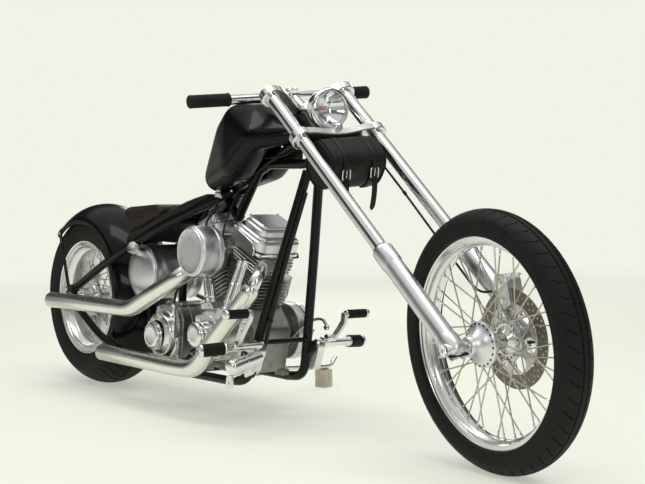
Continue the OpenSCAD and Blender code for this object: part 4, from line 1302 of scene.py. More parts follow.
def addTank():
    tank = softCopy("fuel_tank", "fuelTank", 0.005, 48, 0.0026)
    tank.data.materials.append(finishes["gloss"])
    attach(tank, "chassis")
    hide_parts("fuel_tank")
    fittings = Shape()
    # Filler cap, fuel tap with its hose, and mounting bolts
    cap = here((955, 0, 1000)) @ alongZ
    fittings.lathe([(36, -2), (36, 2), (34, 3.5)], "polished", cap, 72)
    line = [(34, 3), (34, 4), (33.2, 5), (33.2, 11), (32, 13), (20, 14.6), (0, 15)]
    fittings.lathe(line, "polished", cap, 72)
    for x, z in circlePoints(33.3, 36):
        fittings.rod((x, 5, z), (x, 11, z), 0.9, "polished", cap, 8, 0.2)
    fittings.rod((848, -52, 742), (848, -54, 716), 9, "chrome")
    fittings.rod((848, -54, 722), (848, -54, 706), 12, "chrome", sides=6)
    fittings.rod((848, -54, 714), (870, -62, 710), 5, "chrome")
    fittings.block((868, -66, 702), (876, -58, 718), "chrome", None, 2)
    fittings.tube(smoothRoute([(848, -54, 708), (846, -60, 668), (858, -112, 622), (892, -118, 580),
        (908, -110, 556)], 26), 4.2, "cable", sides=14)
    for x, z in ((884, 740), (1168, 880)):
        for s in (1, -1):
            fittings.bolt((x, s * (24.5 if x > 1000 else 25), z - 12), (0, s, 0), 6, "chrome", kind="dome")
    fittings.finish("tankFittings", bike, "chassis", "chrome")


def fenderShape():
    # Crowned blade with hanging sides and a rolled edge all round
    shape = Shape()
    start, end = radians(52), radians(218)
    section = []
    for i in range(33):
        y = -116 + 232 * i / 32
        section.append((201 + sqrt(145 ** 2 - y ** 2), y))
    outer = [(274, -116), (280, -116)] + section + [(280, 116), (274, 116)]
    inner = [(r - 3.0 if abs(y) < 115 else r, y * 0.975) for r, y in outer][::-1]
    arc = (pi - end, pi - start)
    shape.lathe(outer + inner, "gloss", None, 150, arc, True)
    for s in (1, -1):
        shape.lathe(circlePoints(3.6, 12, (275, s * 114.6)), "gloss", None, 150, arc, True)
    for a in arc:
        line = [Vector((r * cos(a), y, r * sin(a))) for r, y in outer]
        shape.tube(line, 3.6, "gloss", sides=12)
    return shape


def strutShape():
    shape = Shape()
    for s in (1, -1):
        route = smoothRoute([(-146, s * 122.5, 560), (-120, s * 132, 530), (-28, s * 148, 362),
            (-22, s * 148, 350)], 20, 8)
        shape.tube(route, 6, "frame", sides=20)
        for spot, towards in (((-142, s * 126, 556), (0, s, 0)), ((-24, s * 154, 354), (0, s, 0))):
            shape.rod(Vector(spot) - Vector(towards) * 5, Vector(spot) + Vector(towards) * 1.5, 12, "frame")
            shape.bolt(Vector(spot) + Vector(towards) * 1.4, towards, 7, "chrome", kind="dome", height=4)
    return shape


def oilTankShape():
    shape = Shape()
    spot = here((430, 0, 440))
    line = []
    for s in (-1, 1):
        halfLine = [(0, 118), (16, 117.6), (32, 116), (48, 112.8), (64, 107.6), (76, 101.6), (82, 97),
            (84.6, 94), (85, 91.6), (88, 91.4), (88.6, 90), (88.6, 87), (87.6, 85.6), (86.6, 84),
            (86.6, 60), (87.6, 58), (87.6, 44), (86.6, 42)]
        line += [(r * 1.085, y * s * 1.04) for r, y in (halfLine if s < 0 else halfLine[::-1])]
    shape.lathe(line, "satin", spot, 112)
    shape.rod((428, -96, 500), (441, -134, 520), 12, "polished")
    bead(shape, (429.5, -100, 502), (16, -46, 26), 12.4, "satin", 2)
    along = Vector((16, -46, 26)).normalized()
    base = Vector((440, -131, 518.5))
    shape.rod(base, base + along * 6, 17, "polished", sides=48)
    shape.rod(base + along * 6, base + along * 26, 19, "polished", sides=48, bevel=2)
    across = unitAcross(along)
    other = along.cross(across)
    for x, z in circlePoints(19.1, 30):
        out = across * x + other * z
        shape.rod(base + along * 9 + out, base + along * 23 + out, 0.9, "polished", sides=6, bevel=0.2)
    # Drain, feed and return lines down to the engine
    for x, y, to in ((404, -60, (770, -96, 190)), (452, -52, (772, -88, 214)), (430, 66, (770, 84, 200))):
        shape.rod((x, y, 362), (x, y, 342), 8, "chrome", sides=6)
        shape.tube(smoothRoute([(x, y, 346), (x + 4, y, 300), (530, y * 1.9, 150), (700, y * 1.9, 146), to],
            50, 8), 5.2, "cable", sides=14)
        shape.rod(Vector(to) + Vector((-16, 0, -2)), to, 7.5, "chrome", sides=6)
    for s in (1, -1):
        shape.rod((392, s * 70, 512), (374, s * 74, 532), 8, "frame")
        shape.bolt((398, s * 70, 517), (0.5, 0, -1), 6, "chrome")
    return shape


pads = {"seat": {"node": "seat_pad", "finish": "seatLeather", "slot": "seat_leather", "pressure": 4,
    "cap": 0.007, "fill": 0.75}, "rear": {"node": "rear_pad", "finish": "brownLeather",
    "slot": "brown_leather", "pressure": 4, "cap": 0.006, "fill": 0.8},}


def addPad(name, node, finish, slot, pressure, cap, fill):
    # Stuffed pad: the solid's skin is blown out a little as cloth, then held near its shape
    made = softCopy(node, name, 0.006, 4)
    before = np.empty(len(made.data.vertices) * 3)
    made.data.vertices.foreach_get("co", before)
    cloth = made.modifiers.new("cloth", "CLOTH")
    cloth.settings.use_pressure = True
    cloth.settings.uniform_pressure_force = pressure
    cloth.settings.effector_weights.gravity = 0
    cloth.settings.quality = 4
    cloth.settings.tension_stiffness = cloth.settings.compression_stiffness = 6
    cloth.settings.shrink_min = -0.04
    cloth.point_cache.frame_start, cloth.point_cache.frame_end = 1, 20
    for moment in range(1, 21):
        bpy.context.scene.frame_set(moment)
    bakeDown(made)
    after = np.empty(len(made.data.vertices) * 3)
    made.data.vertices.foreach_get("co", after)
    move = (after - before).reshape(-1, 3)
    length = np.linalg.norm(move, axis=1, keepdims=True)
    move *= np.minimum(1, cap / np.maximum(length, 1e-9))
    made.data.vertices.foreach_set("co", (before.reshape(-1, 3) + move).ravel())
    bpy.context.scene.frame_set(1)
    subdivide = made.modifiers.new("subdivide", "SUBSURF")
    subdivide.levels = subdivide.render_levels = 1
    bakeDown(made)
    made.data.materials.append(finishes[finish])
    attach(made, "chassis")
    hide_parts(node)
    print("pad", name, len(made.data.polygons))
    return made


addTank()
fenderShape().finish("rearFender", rearWheel, "chassis", "gloss_black_paint", ["rear_fender"], 40)
strutShape().finish("fenderStruts", bike, "chassis", "frame_black_paint", ["fender_strut"])
oilTankShape().finish("oilTank", bike, "chassis", "polished_aluminium", ["oil_tank"])
addPad("seatPad", **pads["seat"])
addPad("rearPad", **pads["rear"])
print("tank, fender and pads made")


# Engine

crank = (925, 270)
vee = radians(22.5)


def cylinderAt(front):
    turn = here((crank[0], 0, crank[1])) @ Matrix.Rotation(vee if front else -vee, 4, "Y")
    return turn if front else turn @ Matrix.Scale(-1, 4, (1, 0, 0))


def barrelShape(front):
    # Finned barrel, its fins cut back where the two cylinders meet
    shape = Shape()
    shape.lathe([(60, 104), (60, 110), (57, 112), (56, 240)], "cast", alongZ, 96)
    pitch = (238 - 105 - 14) / 10
    for i in range(10):
        z = 116 + i * pitch
        trim = 3.2 * max(0, 4 - i)
        rows = []
        for out, dz in ((0, -2.6), (0.4, -2.1), (0.93, -1.5), (0.98, -0.9), (1, 0), (0.98, 0.9),
                (0.93, 1.5), (0.4, 2.1), (0, 2.6)):
            row = []
            for k in range(144):
                a = 2 * pi * k / 144
                c, d = cos(a), sin(a)
                side = (92 if d > 0 else 74) - trim
                reach = ((abs(c) / (85 - trim)) ** 6 + (abs(d) / side) ** 6) ** (-1 / 6)
                r = 55 + (min(reach, 106 - trim) - 55) * out
                row.append((max(r * c, (0.8 - z * sin(vee)) / cos(vee)), r * d, z + dz))
            rows.append(row)
        shape.grid(rows, "buffed")
    shape.finish("frontCylinder" if front else "rearCylinder", bike @ cylinderScaled(front), "chassis",
        "cast_aluminium", ["front_cylinder" if front else "rear_cylinder"])


def cylinderScaled(front):
    made = cylinderAt(front)
    return Matrix.Translation(made.translation * 0.001) @ made.to_3x3().to_4x4()


def roundedBox(x0, x1, y0, y1, radius):
    return roundedOutline([(x0, y0), (x1, y0), (x1, y1), (x0, y1)], radius, 6)


def bulged(x0, x1, y0, y1):
    # Box outline with full, rounded corners
    line = []
    for i in range(72):
        c, d = cos(pi * i / 36), sin(pi * i / 36)
        line.append(((x0 + x1) / 2 + (x1 - x0) / 2 * copysign(abs(c) ** 0.42, c),
            (y0 + y1) / 2 + (y1 - y0) / 2 * copysign(abs(d) ** 0.42, d)))
    return line


def headShape(front):
    # Finned head, rocker box in two stepped tiers with its bolts, spark plug and ports
    shape = Shape()

    def tier(outline, z0, z1, finish, bevel):
        shape.plate([(x, -y) for x, y in outline], z0, z1, finish, alongZ, bevel=bevel)

    tier(roundedBox(-60, 60, -58, 58, 18), 236, 306, "cast", 1)
    for i in range(6):
        z = 240 + i * 11.4
        grow = (0, 3, 4, 4, 3, 0)[i]
        tier(roundedBox(-72 - grow, 72 + grow, -68 - grow, 68 + grow, 16), z, z + 4.4, "buffed", 1.4)
    tier(roundedBox(-82, 80, -80, 78, 20), 304, 314, "polished", 2)
    # Near-black band set back between head and rocker box, painted shade in the gap
    tier(roundedBox(-76, 74, -74, 72, 18), 313, 316, "holeShade", 0.4)
    tier(bulged(-86, 84, -83, 80), 315.5, 352, "satin", 5)
    tier(bulged(-80, 76, -76, 74), 351, 362, "polished", 4)
    tier(bulged(-60, 64, -70, 68), 361, 384, "satin", 4)
    tier(bulged(-52, 56, -62, 60), 383, 396, "satin", 7)
    for x, y in ((-70, -68), (66, -68), (-70, 65), (66, 65), (-72, 0), (70, 0)):
        shape.bolt((x, y, 351), (0, 0, 1), 5.4, "chrome", kind="socket", height=6)
    for x in (-44, 0, 44):
        shape.bolt((x, -82, 334), (0, -1, 0), 4.4, "chrome", kind="socket", height=4)
    for x, y in ((-44, -52), (46, -52), (-44, 50), (46, 50)):
        shape.bolt((x, y, 392), (0, 0, 1), 5, "chrome", kind="socket", height=5)
    # Side plate of the rocker box, stepped down towards the front
    plate = roundedOutline([(-74, 300), (60, 300), (60, 322), (44, 340), (-46, 346), (-56, 352),
        (-74, 352)], 5, 4)
    shape.plate(plate, -87, -80, "buffed", bevel=1.6)
    # Spark plug with its cap and lead, on the left
    shape.rod((18, 56, 272), (30, 84, 282), 9, "steel", sides=6)
    shape.rod((29, 82, 281), (40, 106, 290), 8.5, "cable", sides=20)
    # Exhaust and inlet stubs
    shape.rod((66, -30, 276), (86, -48, 278), 24, "cast", sides=40)
    shape.rod((-66, -20, 282), (-84, -26, 286), 21, "cast", sides=40)
    shape.finish("frontHead" if front else "rearHead", bike @ cylinderScaled(front), "chassis",
        "cast_aluminium", ["front_head" if front else "rear_head"])


def crankcaseShape():
    shape = Shape()
    spot = here((crank[0], 0, crank[1]))
    shape.lathe([(0, -92), (88, -92), (104, -90), (116, -84), (121, -76), (122, -66), (122, -5), (126, -4),
        (126, 4), (122, 5), (122, 66), (121, 76), (116, 84), (104, 90), (88, 92), (0, 92)], "cast", spot,
        120)
    body = roundedOutline([(790, 152), (1060, 152), (1090, 292), (1024, 372), (992, 372), (925, 320),
        (858, 372), (826, 372), (778, 292)], 16, 6)
    shape.plate(body, -70, 70, "cast", bevel=5)
    shape.plate(roundedOutline([(860, 172), (1040, 186), (1052, 300), (1000, 372), (870, 352)], 18, 6),
        -98.5, -60, "buffed", bevel=3)
    # Cylinder decks
    for front in (True, False):
        lay = cylinderAt(front)
        shape.lathe([(50, 92), (78, 94), (80, 97), (80, 102), (78, 104.4), (40, 104.4)], "buffed",
            lay @ alongZ, 80)
        for a in (40, 140, 220, 320):
            angle = radians(a)
            shape.bolt((68 * cos(angle), 68 * sin(angle), 104), (0, 0, 1), 6.5, "steel", lay, height=7)
    # Case bolts, ribs and mounting lugs
    for x, z in circlePoints(131, 14, crank, pi / 14):
        if z < 250:
            shape.rod((x, -14, z), (x, 14, z), 9, "cast", sides=20)
            shape.bolt((x, -14, z), (0, -1, 0), 5.4, "steel", height=5)
            shape.bolt((x, 14, z), (0, 1, 0), 5.4, "steel", height=5)
    for i in range(7):
        a = radians(200 + i * 22)
        near = Vector((crank[0] + 56 * cos(a), -93, crank[1] + 56 * sin(a)))
        far = Vector((crank[0] + 112 * cos(a), -86, crank[1] + 112 * sin(a)))
        shape.tube([near, far], 3.2, "cast", sides=10)
    for x in (806, 1044):
        for s in (1, -1):
            shape.block((x - 22, s * 66 - 14, 140), (x + 22, s * 66 + 14, 160), "cast", None, 4, 2)
            shape.bolt((x, s * 66, 160), (0, 0, 1), 8, "steel")
    return shape


def camCoverShape():
    shape = Shape()
    outline = [(872, 196), (1000, 190), (1048, 262), (1030, 322), (985, 352), (905, 346), (868, 300)]
    shape.plate(roundedOutline(outline, 26, 8), -146, -98, "buffed", bevel=2)
    shape.plate(roundedOutline(insetOutline(outline, 5), 24, 8), -151, -145, "polished", bevel=4)
    spot = here((938, 0, 272))
    shape.lathe([(66, -149), (66, -153), (63, -156.5), (44, -158), (43.4, -160), (43.4, -180), (42.4, -182),
        (41.4, -183), (41.4, -192), (39.6, -198), (35, -202.6), (28, -204.4), (20, -204), (0, -203)],
        "polished", spot, 96)
    for a in (0.6, 0.6 + pi):
        shape.bolt((938 + 30 * cos(a), -203.6, 272 + 30 * sin(a)), (0, -1, 0), 4, "chrome", kind="socket",
            height=2)
    line = insetOutline(roundedOutline(outline, 26, 8), 10)
    count = 11
    for i in range(count):
        x, z = line[int(i * len(line) / count)]
        shape.bolt((x, -150.4, z), (0, -1, 0), 4.6, "chrome", kind="socket", height=4.4)
    # Breather boss and oil pump below
    shape.rod((896, -150, 318), (896, -162, 318), 13, "polished", sides=36, bevel=2)
    shape.block((874, -132, 168), (940, -96, 200), "cast", None, 6, 2)
    for x in (886, 928):
        shape.bolt((x, -132, 184), (0, -1, 0), 5, "steel", kind="socket")
    return shape


def pushrodShape():
    # Telescoping covers with their clips and collars
    shape = Shape()
    lines = []
    for x in (0, 30):
        lines.append(((1006 + x * 0.7, -133 + x * 0.3, 346), (1050 + x, -98, 512)))
        lines.append(((911 + x, -128, 360), (832 + x, -98, 500)))
    for a, b in lines:
        a, b = Vector(a), Vector(b)
        along = (b - a).normalized()
        length = (b - a).length
        marks = [(0, 12.6), (16, 12.6), (18, 10.6), (30, 10.4), (32, 12), (35, 12), (37, 10.2),
            (length * 0.55, 10.2), (length * 0.55 + 2, 8.2), (length - 22, 8.0), (length - 20, 11),
            (length - 8, 11.4), (length, 11.4)]
        shape.tube([a + along * m for m, r in marks], [r for m, r in marks], "chrome", sides=32)
    for outline in ([(986, 322), (1036, 316), (1052, 346), (996, 362)],
            [(904, 347), (972, 356), (955, 376), (896, 368)]):
        shape.plate(roundedOutline(outline, 6, 4), -152, -98.2, "polished", bevel=2.4)
        for i in (0, 1, 2, 3):
            x, z = insetOutline(outline, 8)[i]
            shape.bolt((x, -151.6, z), (0, -1, 0), 3.4, "chrome", kind="socket", height=3.4)
    return shape


def carburettorShape():
    shape = Shape()
    shape.lathe([(17, -20), (17, -62), (20, -64), (20, -72), (22, -74), (22, -90)], "satin",
        here((929, 0, 536)), 48)
    body = roundedOutline([(900, 498), (958, 498), (960, 552), (948, 568), (908, 568), (898, 552)], 6, 4)
    shape.plate(body, -128, -88, "cast", bevel=3)
    shape.plate(roundedOutline([(902, 484), (954, 484), (956, 504), (900, 504)], 6, 4), -126, -90, "brass",
        bevel=3)
    shape.lathe([(30, -129), (31, -132), (31, -144), (30, -146), (24, -146)], "satin", here((940, 0, 530)),
        56)
    shape.rod((908, -108, 566), (908, -108, 580), 15, "satin")
    for x in (904, 952):
        for y in (-96, -122):
            shape.bolt((x, y, 500), (0, 0, 1), 3, "steel", kind="dome", height=2.4)
    shape.rod((962, -108, 540), (978, -108, 540), 9, "steel")
    shape.tube(smoothRoute([(966, -108, 546), (930, -90, 600), (905, -40, 680), (1010, -19, 828),
        (1180, -19, 838), (1225, -24, 856)], 40), 3, "cable", sides=12)
    return shape


def airCleanerShape():
    # Plain round cover with a satin face, a ring of small screws and a turned rim
    shape = Shape()
    spot = here((958, 0, 537))
    shape.lathe([(20, -148), (76, -148), (79, -150), (80, -153), (80, -166), (79.4, -167), (79.4, -169),
        (80, -170), (80, -218), (79.4, -222), (77.4, -225.4), (74.4, -227)], "satin", spot, 128)
    shape.lathe([(74.4, -227), (74, -229.6), (72.6, -231.4), (69.6, -231.8), (68.6, -230.6),
        (67.8, -230.2)], "satin", spot, 128)
    shape.lathe([(67.8, -230.2), (40, -230.9), (12, -231.2), (0, -231.2)], "satin", spot, 128)
    for x, z in circlePoints(61, 12, (958, 537), pi / 12):
        shape.bolt((x, -230.4, z), (0, -1, 0), 2.9, "steel", kind="socket", height=1.7)
    return shape


def transmissionShape():
    shape = Shape()
    outline = [(556, 168), (706, 162), (716, 300), (690, 340), (570, 340), (552, 290)]
    shape.plate(roundedOutline(outline, 18, 6), -106, 104, "cast", bevel=5)
    shape.plate(roundedOutline(insetOutline(outline, 2), 18, 6), -119, -104, "buffed", bevel=2.5)
    for y in (-70, -30, 10, 50):
        shape.plate(roundedOutline(insetOutline(outline, -3), 18, 6), y, y + 5, "cast", bevel=1.6)
    # Top lid with its screws
    shape.block((578, -92, 338), (684, 84, 348), "buffed", None, 10, 2)
    for x in (588, 631, 674):
        for y in (-84, 76):
            shape.bolt((x, y, 347), (0, 0, 1), 4.4, "chrome", kind="socket", height=4)
    spot = here((632, 0, 245))
    shape.lathe([(78, -116), (78, -121), (75, -124), (74, -126), (74, -143), (71, -149), (64, -152.4),
        (50, -153), (47.6, -154)], "polished", spot, 100)
    cap = here((623, 0, 240))
    shape.lathe([(47.6, -152), (47.6, -160), (46, -162), (46, -169), (43, -174), (37, -176), (30, -176.4),
        (28, -175), (26, -174.6), (0, -174.8)], "polished", cap, 80)
    for x, z in circlePoints(66, 6, (632, 245), pi / 6):
        shape.bolt((x, -151, z), (0, -1, 0), 4.6, "chrome", kind="socket", height=4)
    for x, z in circlePoints(36, 3, (623, 240), 0.4):
        shape.bolt((x, -175.4, z), (0, -1, 0), 3, "chrome", kind="socket", height=2)
    line = insetOutline(roundedOutline(insetOutline(outline, 2), 18, 6), 8)
    for i in range(10):
        x, z = line[int((i + 0.4) * len(line) / 10)]
        shape.bolt((x, -118.6, z), (0, -1, 0), 4.6, "chrome", kind="socket", height=4.4)
    # Upright clutch line fitting, with its clamp
    for z0, z1, r, finish in ((250, 262, 9.5, "chrome"), (262, 300, 7.4, "polished"),
            (300, 312, 9.5, "chrome"), (312, 344, 6.6, "polished"), (344, 352, 8.4, "chrome")):
        shape.rod((712, -138, z0), (712, -138, z1), r, finish, sides=24)
    shape.block((692, -146, 238), (724, -118, 264), "polished", None, 5, 2)
    shape.tube(smoothRoute([(712, -138, 350), (714, -130, 400), (760, -108, 440), (830, -106, 452)], 30), 4,
        "cable", sides=12)
    return shape


def primaryCoverShape():
    shape = Shape()
    front, rear = Vector((945, 268)), Vector((625, 268))

    def belt(ra, rb):
        return circlePoints(ra, 30, front, -pi / 2, pi) + circlePoints(rb, 30, rear, pi / 2, pi)

    shape.plate(belt(92, 104), 140, 168, "buffed", bevel=2)
    shape.plate(belt(93, 105), 167, 171, "polished", bevel=1)
    shape.plate(belt(91, 103), 171, 203, "polished", bevel=9)
    shape.plate(belt(70, 82), 200, 208, "polished", bevel=5)
    shape.lathe([(70, 206), (70, 212), (67, 216), (58, 218), (0, 218)], "polished", here((625, 0, 268)), 96)
    for x, z in circlePoints(61, 5, (625, 268), pi / 10):
        shape.bolt((x, 217.6, z), (0, 1, 0), 4.2, "chrome", kind="socket", height=2.4)
    shape.plate(roundedOutline([(812, 244), (890, 244), (890, 292), (812, 292)], 14, 5), 207, 213,
        "polished", bevel=2)
    for x in (822, 880):
        shape.bolt((x, 213, 268), (0, 1, 0), 3.6, "chrome", kind="socket", height=2.4)
    line = belt(83, 95)
    for i in range(14):
        x, z = line[int((i + 0.5) * len(line) / 14) % len(line)]
        shape.bolt((x, 199, z), (0, 1, 0), 5, "chrome", kind="socket", height=5.6)
    shape.disc((945, 268), 92.2, 141, 60, "cast", segments=72, bevel=2)
    shape.bolt((700, 204, 176), (0.0, 1, 0), 7, "chrome", height=4)
    return shape


for side in (True, False):
    barrelShape(side)
    headShape(side)
crankcaseShape().finish("crankcase", bike, "chassis", "cast_aluminium", ["crankcase"])
camCoverShape().finish("camCover", bike, "chassis", "polished_aluminium", ["cam_cover"])
pushrodShape().finish("pushrodTubes", bike, "chassis", "chrome", ["pushrod_tubes"])
carburettorShape().finish("carburettor", bike, "chassis", "carburettor_metal", ["carburettor"])
airCleanerShape().finish("airCleaner", bike, "chassis", "polished_aluminium", ["air_cleaner"])
transmissionShape().finish("transmission", bike, "chassis", "cast_aluminium", ["transmission"])
primaryCoverShape().finish("primaryCover", bike, "chassis", "polished_aluminium", ["primary_cover"])
print("engine made")


# Exhausts, drive, controls and stand

exhausts = {
    "front": {"header": [(1098, -50, 492), (1158, -94, 494), (1206, -142, 462), (1182, -158, 412)],
              "route": [(1190, -155, 432), (1182, -158, 412), (1028, -183, 262), (945, -192, 163),
                        (840, -200, 159), (335, -200, 159)], "cut": 60},
    "rear": {"header": None, "route": [(770, -72, 500), (794, -156, 452), (675, -192, 386), (540, -200, 325),
                                       (-60, -200, 314)], "cut": 40},
}


def exhaustShape(header, route, cut):
    shape = Shape()
    line = smoothRoute(route, cut, 14)
    end = line[-1]
    along = (end - line[-2]).normalized()
    radii = [28.5] * len(line)
    if header:
        shape.tube(smoothRoute(header, 36, 12), 20, "pipe", sides=40)
        line.insert(0, line[0] + (line[0] - line[1]).normalized() * 12)
        radii = [20.5, 27] + radii[1:]
    # Open end: the wall turns in and runs back inside the pipe
    back = [(0, 28.5), (0.6, 28.1), (0.8, 27.2), (0.2, 26.2), (-8, 26.0), (-90, 26.0)]
    shape.tube(line + [end + along * a for a, r in back[1:]], radii + [r for a, r in back[1:]], "pipe",
        sides=56, caps=False)
    # Near-black disc inside the pipe, painted shade that closes the bore
    shape.rod(end - along * 92, end - along * 88, 26.2, "holeShade", sides=40)
    # Flange at the head
    if not header:
        mouth = Vector(route[0])
        out = (Vector(route[1]) - mouth).normalized()
        shape.rod(mouth + out * 6, mouth + out * 12, 37.5, "polished", sides=48)
        for s in (1, -1):
            shape.bolt(mouth + out * 12 + unitAcross(out) * s * 31.5, out, 5, "chrome", height=7)
    return shape


def chainShape(teethFront=20, teethRear=44, pitch=15.875, y=127):
    shape = Shape()
    front, rear = Vector((640, 258)), Vector((0, axleHeight * 1000))
    ra, rb = pitch / (2 * sin(pi / teethFront)), pitch / (2 * sin(pi / teethRear))
    d = rear - front
    base, tangent = atan2(d.y, d.x), acos((ra - rb) / d.length)
    line = []
    for centre, r, a, b in ((front, ra, base + tangent, base + 2 * pi - tangent),
            (rear, rb, base - tangent, base + tangent)):
        for i in range(121):
            angle = a + (b - a) * i / 120
            line.append(centre + Vector((cos(angle), sin(angle))) * r)
    line.append(line[0])
    lengths = np.concatenate([[0], np.cumsum([(b - a).length for a, b in zip(line, line[1:])])])
    links = int(round(lengths[-1] / pitch / 2)) * 2
    xs, zs = [p.x for p in line], [p.y for p in line]
    spots = [Vector((np.interp(lengths[-1] * i / links, lengths, xs),
        np.interp(lengths[-1] * i / links, lengths, zs))) for i in range(links)]
    for i, spot in enumerate(spots):
        after = spots[(i + 1) % links]
        angle = atan2(after.y - spot.y, after.x - spot.x)
        lay = here((spot.x, 0, spot.y)) @ Matrix.Rotation(-angle, 4, "Y")
        length = (after - spot).length
        outline = circlePoints(6.6, 9, (length, 0), -pi / 2, pi) + [(length / 2, 4.8)]
        outline += circlePoints(6.6, 9, (0, 0), pi / 2, pi) + [(length / 2, -4.8)]
        near, far = (4.2, 5.8) if i % 2 else (2.4, 4.0)
        for s in (1, -1):
            shape.plate(outline, y + s * near, y + s * far, "chain", lay, bevel=0.3)
        shape.lathe([(0, y - 6.4), (2.3, y - 6.4), (2.3, y + 6.4), (0, y + 6.4)], "chain", lay, 8)
        shape.lathe([(4.9, y - 2.4), (4.9, y + 2.4)], "steel", lay, 10)
    # Output sprocket with its nut
    rim = []
    for i in range(teethFront):
        for part, r in ((0.0, ra - 4.8), (0.15, ra - 3.6), (0.34, ra + 2.6), (0.5, ra + 3.6),
                (0.66, ra + 2.6), (0.85, ra - 3.6)):
            a = 2 * pi * (i + part) / teethFront
            rim.append((r * cos(a), r * sin(a)))
    shape.plate(rim, y - 2, y + 2, "steel", here((640, 0, 258)), bevel=0.4)
    shape.disc((640, 258), 104.2, y + 2, 18, "steel")
    shape.bolt((640, y + 1.6, 258), (0, 1, 0), 15, "chrome", height=3.4)
    return shape


def rearCalliperShape():
    shape = Shape()
    lay = here((118, 127, 330))
    outline = roundedOutline([(-27, -34), (14, -34), (28, -20), (28, 20), (14, 34), (-27, 34)], 9, 5)
    shape.plate(outline, -20, -7.5, "calliper", lay, bevel=3)
    shape.plate(outline, 7.5, 20, "calliper", lay, bevel=3)
    shape.plate(roundedOutline([(6, -33), (14, -34), (28, -20), (28, 20), (14, 34), (6, 33)], 6, 5), -8, 8,
        "calliper", lay, bevel=0.5)
    for z in (-15, 15):
        for s in (1, -1):
            shape.lathe([(0, s * 23), (8, s * 23), (11, s * 21.6), (12, s * 19)], "steel",
                lay @ here((0, 0, z)), 32)
    for z in (-27, 27):
        shape.bolt((16, 20, z), (0, 1, 0), 4, "chrome", lay, kind="socket", height=3)
    arm = roundedOutline([(20, 322), (140, 316), (146, 330), (140, 344), (40, 354), (20, 350)], 8, 5)
    shape.plate(arm, 147, 154, "frame", bevel=1.2)
    shape.bolt((46, 154, 338), (0, 1, 0), 7, "chrome")
    shape.bolt((130, 154, 330), (0, 1, 0), 7, "chrome")
    shape.rod((128, 145, 330), (128, 149, 330), 9, "steel")
    return shape


def pegShape(shape, a, b, radius):
    # Ribbed rubber peg with a bright end cap
    a, b = Vector(a), Vector(b)
    along = (b - a).normalized()
    length = (b - a).length
    points, radii = [a, a + along * 4], [radius * 0.8, radius]
    ribs = 9
    pitch = (length - 20) / ribs
    for i in range(ribs):
        start = 6 + i * pitch
        for m, r in ((0, -1.6), (0.12, 0), (0.78, 0), (0.9, -1.6)):
            points.append(a + along * (start + pitch * m))
            radii.append(radius + r)
    points.append(b - along * 10)
    radii.append(radius - 0.5)
    shape.tube(points, radii, "grip", sides=40)
    shape.tube([b - along * 11, b - along * 10, b - along * 3, b - along * 1, b],
        [radius - 0.6, radius + 0.3, radius + 0.3, radius - 1, radius - 3], "polished", sides=40)
    shape.rod(a - along * 5, a + along * 1, radius * 0.86, "polished", sides=40)


def rightControlShape():
    shape = Shape()
    outline = [(1120, 150), (1166, 168), (1206, 236), (1190, 276), (1158, 262), (1128, 200)]
    shape.plate(roundedOutline(outline, 14, 6), -132, -104.2, "polished", bevel=3)
    shape.tube([(1180, -130, 256), (1180, -136, 256), (1179.6, -146, 255.9), (1176.4, -224, 255),
        (1176, -236, 255)], [19, 18, 13, 13, 16], "polished", sides=40)
    pegShape(shape, (1176, -237, 255), (1148, -311, 248), 20)
    # Master cylinder with its cap, union and line
    a, b = Vector((1206, -132, 226)), Vector((1244, -268, 203))
    along = (b - a).normalized()
    marks = [(0, 17), (4, 20), (20, 20), (22, 23), (70, 23), (72, 21), (96, 21), (98, 23), (128, 23),
        (133, 21), (137, 17), (140, 12)]
    shape.tube([a + along * m for m, r in marks], [r for m, r in marks], "polished", sides=48)
    shape.rod(a + along * 138, a + along * 143, 8, "chrome", sides=6)
    topEnd = a + along * 84
    shape.rod(topEnd + Vector((0, 0, 16)), topEnd + Vector((0, 0, 25)), 7, "chrome", sides=6)
    shape.tube(smoothRoute([topEnd + Vector((0, 0, 22)), topEnd + Vector((-10, 12, 40)), (1196, -140, 210),
        (1160, -112, 160), (1080, -126, 140)], 30), 3.4, "cable", sides=12)
    shape.plate(roundedOutline([(1170, 176), (1205, 180), (1220, 222), (1188, 236)], 10, 5), -141, -124,
        "satin", bevel=2)
    for x, z in ((1136, 172), (1150, 240), (1186, 262)):
        shape.bolt((x, -131.6, z), (0, -1, 0), 6, "chrome", kind="socket", height=5)
    # Drilled tab below the pedal pivot
    shape.plate(roundedOutline([(1164, 130), (1202, 138), (1200, 176), (1172, 172)], 8, 5), -228, -221,
        "polished", bevel=1, holes=[circlePoints(5, 16, (1184, 152))])
    shape.rod((1188, -222, 168), (1196, -140, 200), 6, "polished")
    return shape


def leftControlShape():
    shape = Shape()
    outline = [(1120, 158), (1166, 168), (1192, 236), (1184, 266), (1156, 262), (1128, 200)]
    shape.plate(roundedOutline(outline, 14, 6), 104.2, 130, "polished", bevel=3)
    shape.tube([(1172, 128, 250), (1172, 134, 250), (1171.6, 146, 250), (1168.4, 224, 250),
        (1168, 236, 250)], [19, 18, 13, 13, 16], "polished", sides=40)
    pegShape(shape, (1168, 237, 250), (1140, 312, 244), 20)
    for x, z in ((1136, 176), (1150, 240)):
        shape.bolt((x, 129.6, z), (0, 1, 0), 6, "chrome", kind="socket", height=5)
    return shape


def pedalShape():
    shape = Shape()
    outline = [(1200, 262), (1222, 258), (1262, 310), (1296, 352), (1294, 378), (1276, 380), (1236, 326)]
    shape.plate(roundedOutline(outline, 10, 5), -226, -214, "polished", bevel=2,
        holes=[circlePoints(6.5, 18, (1246, 316)), circlePoints(5.5, 18, (1262, 338))])
    shape.disc((1211, 262), -228, -132.2, 11, "polished")
    shape.bolt((1211, -227.4, 262), (0, -1, 0), 8, "chrome", kind="dome", height=4)
    pegShape(shape, (1286, -229, 368), (1286, -312, 368), 14)
    return shape


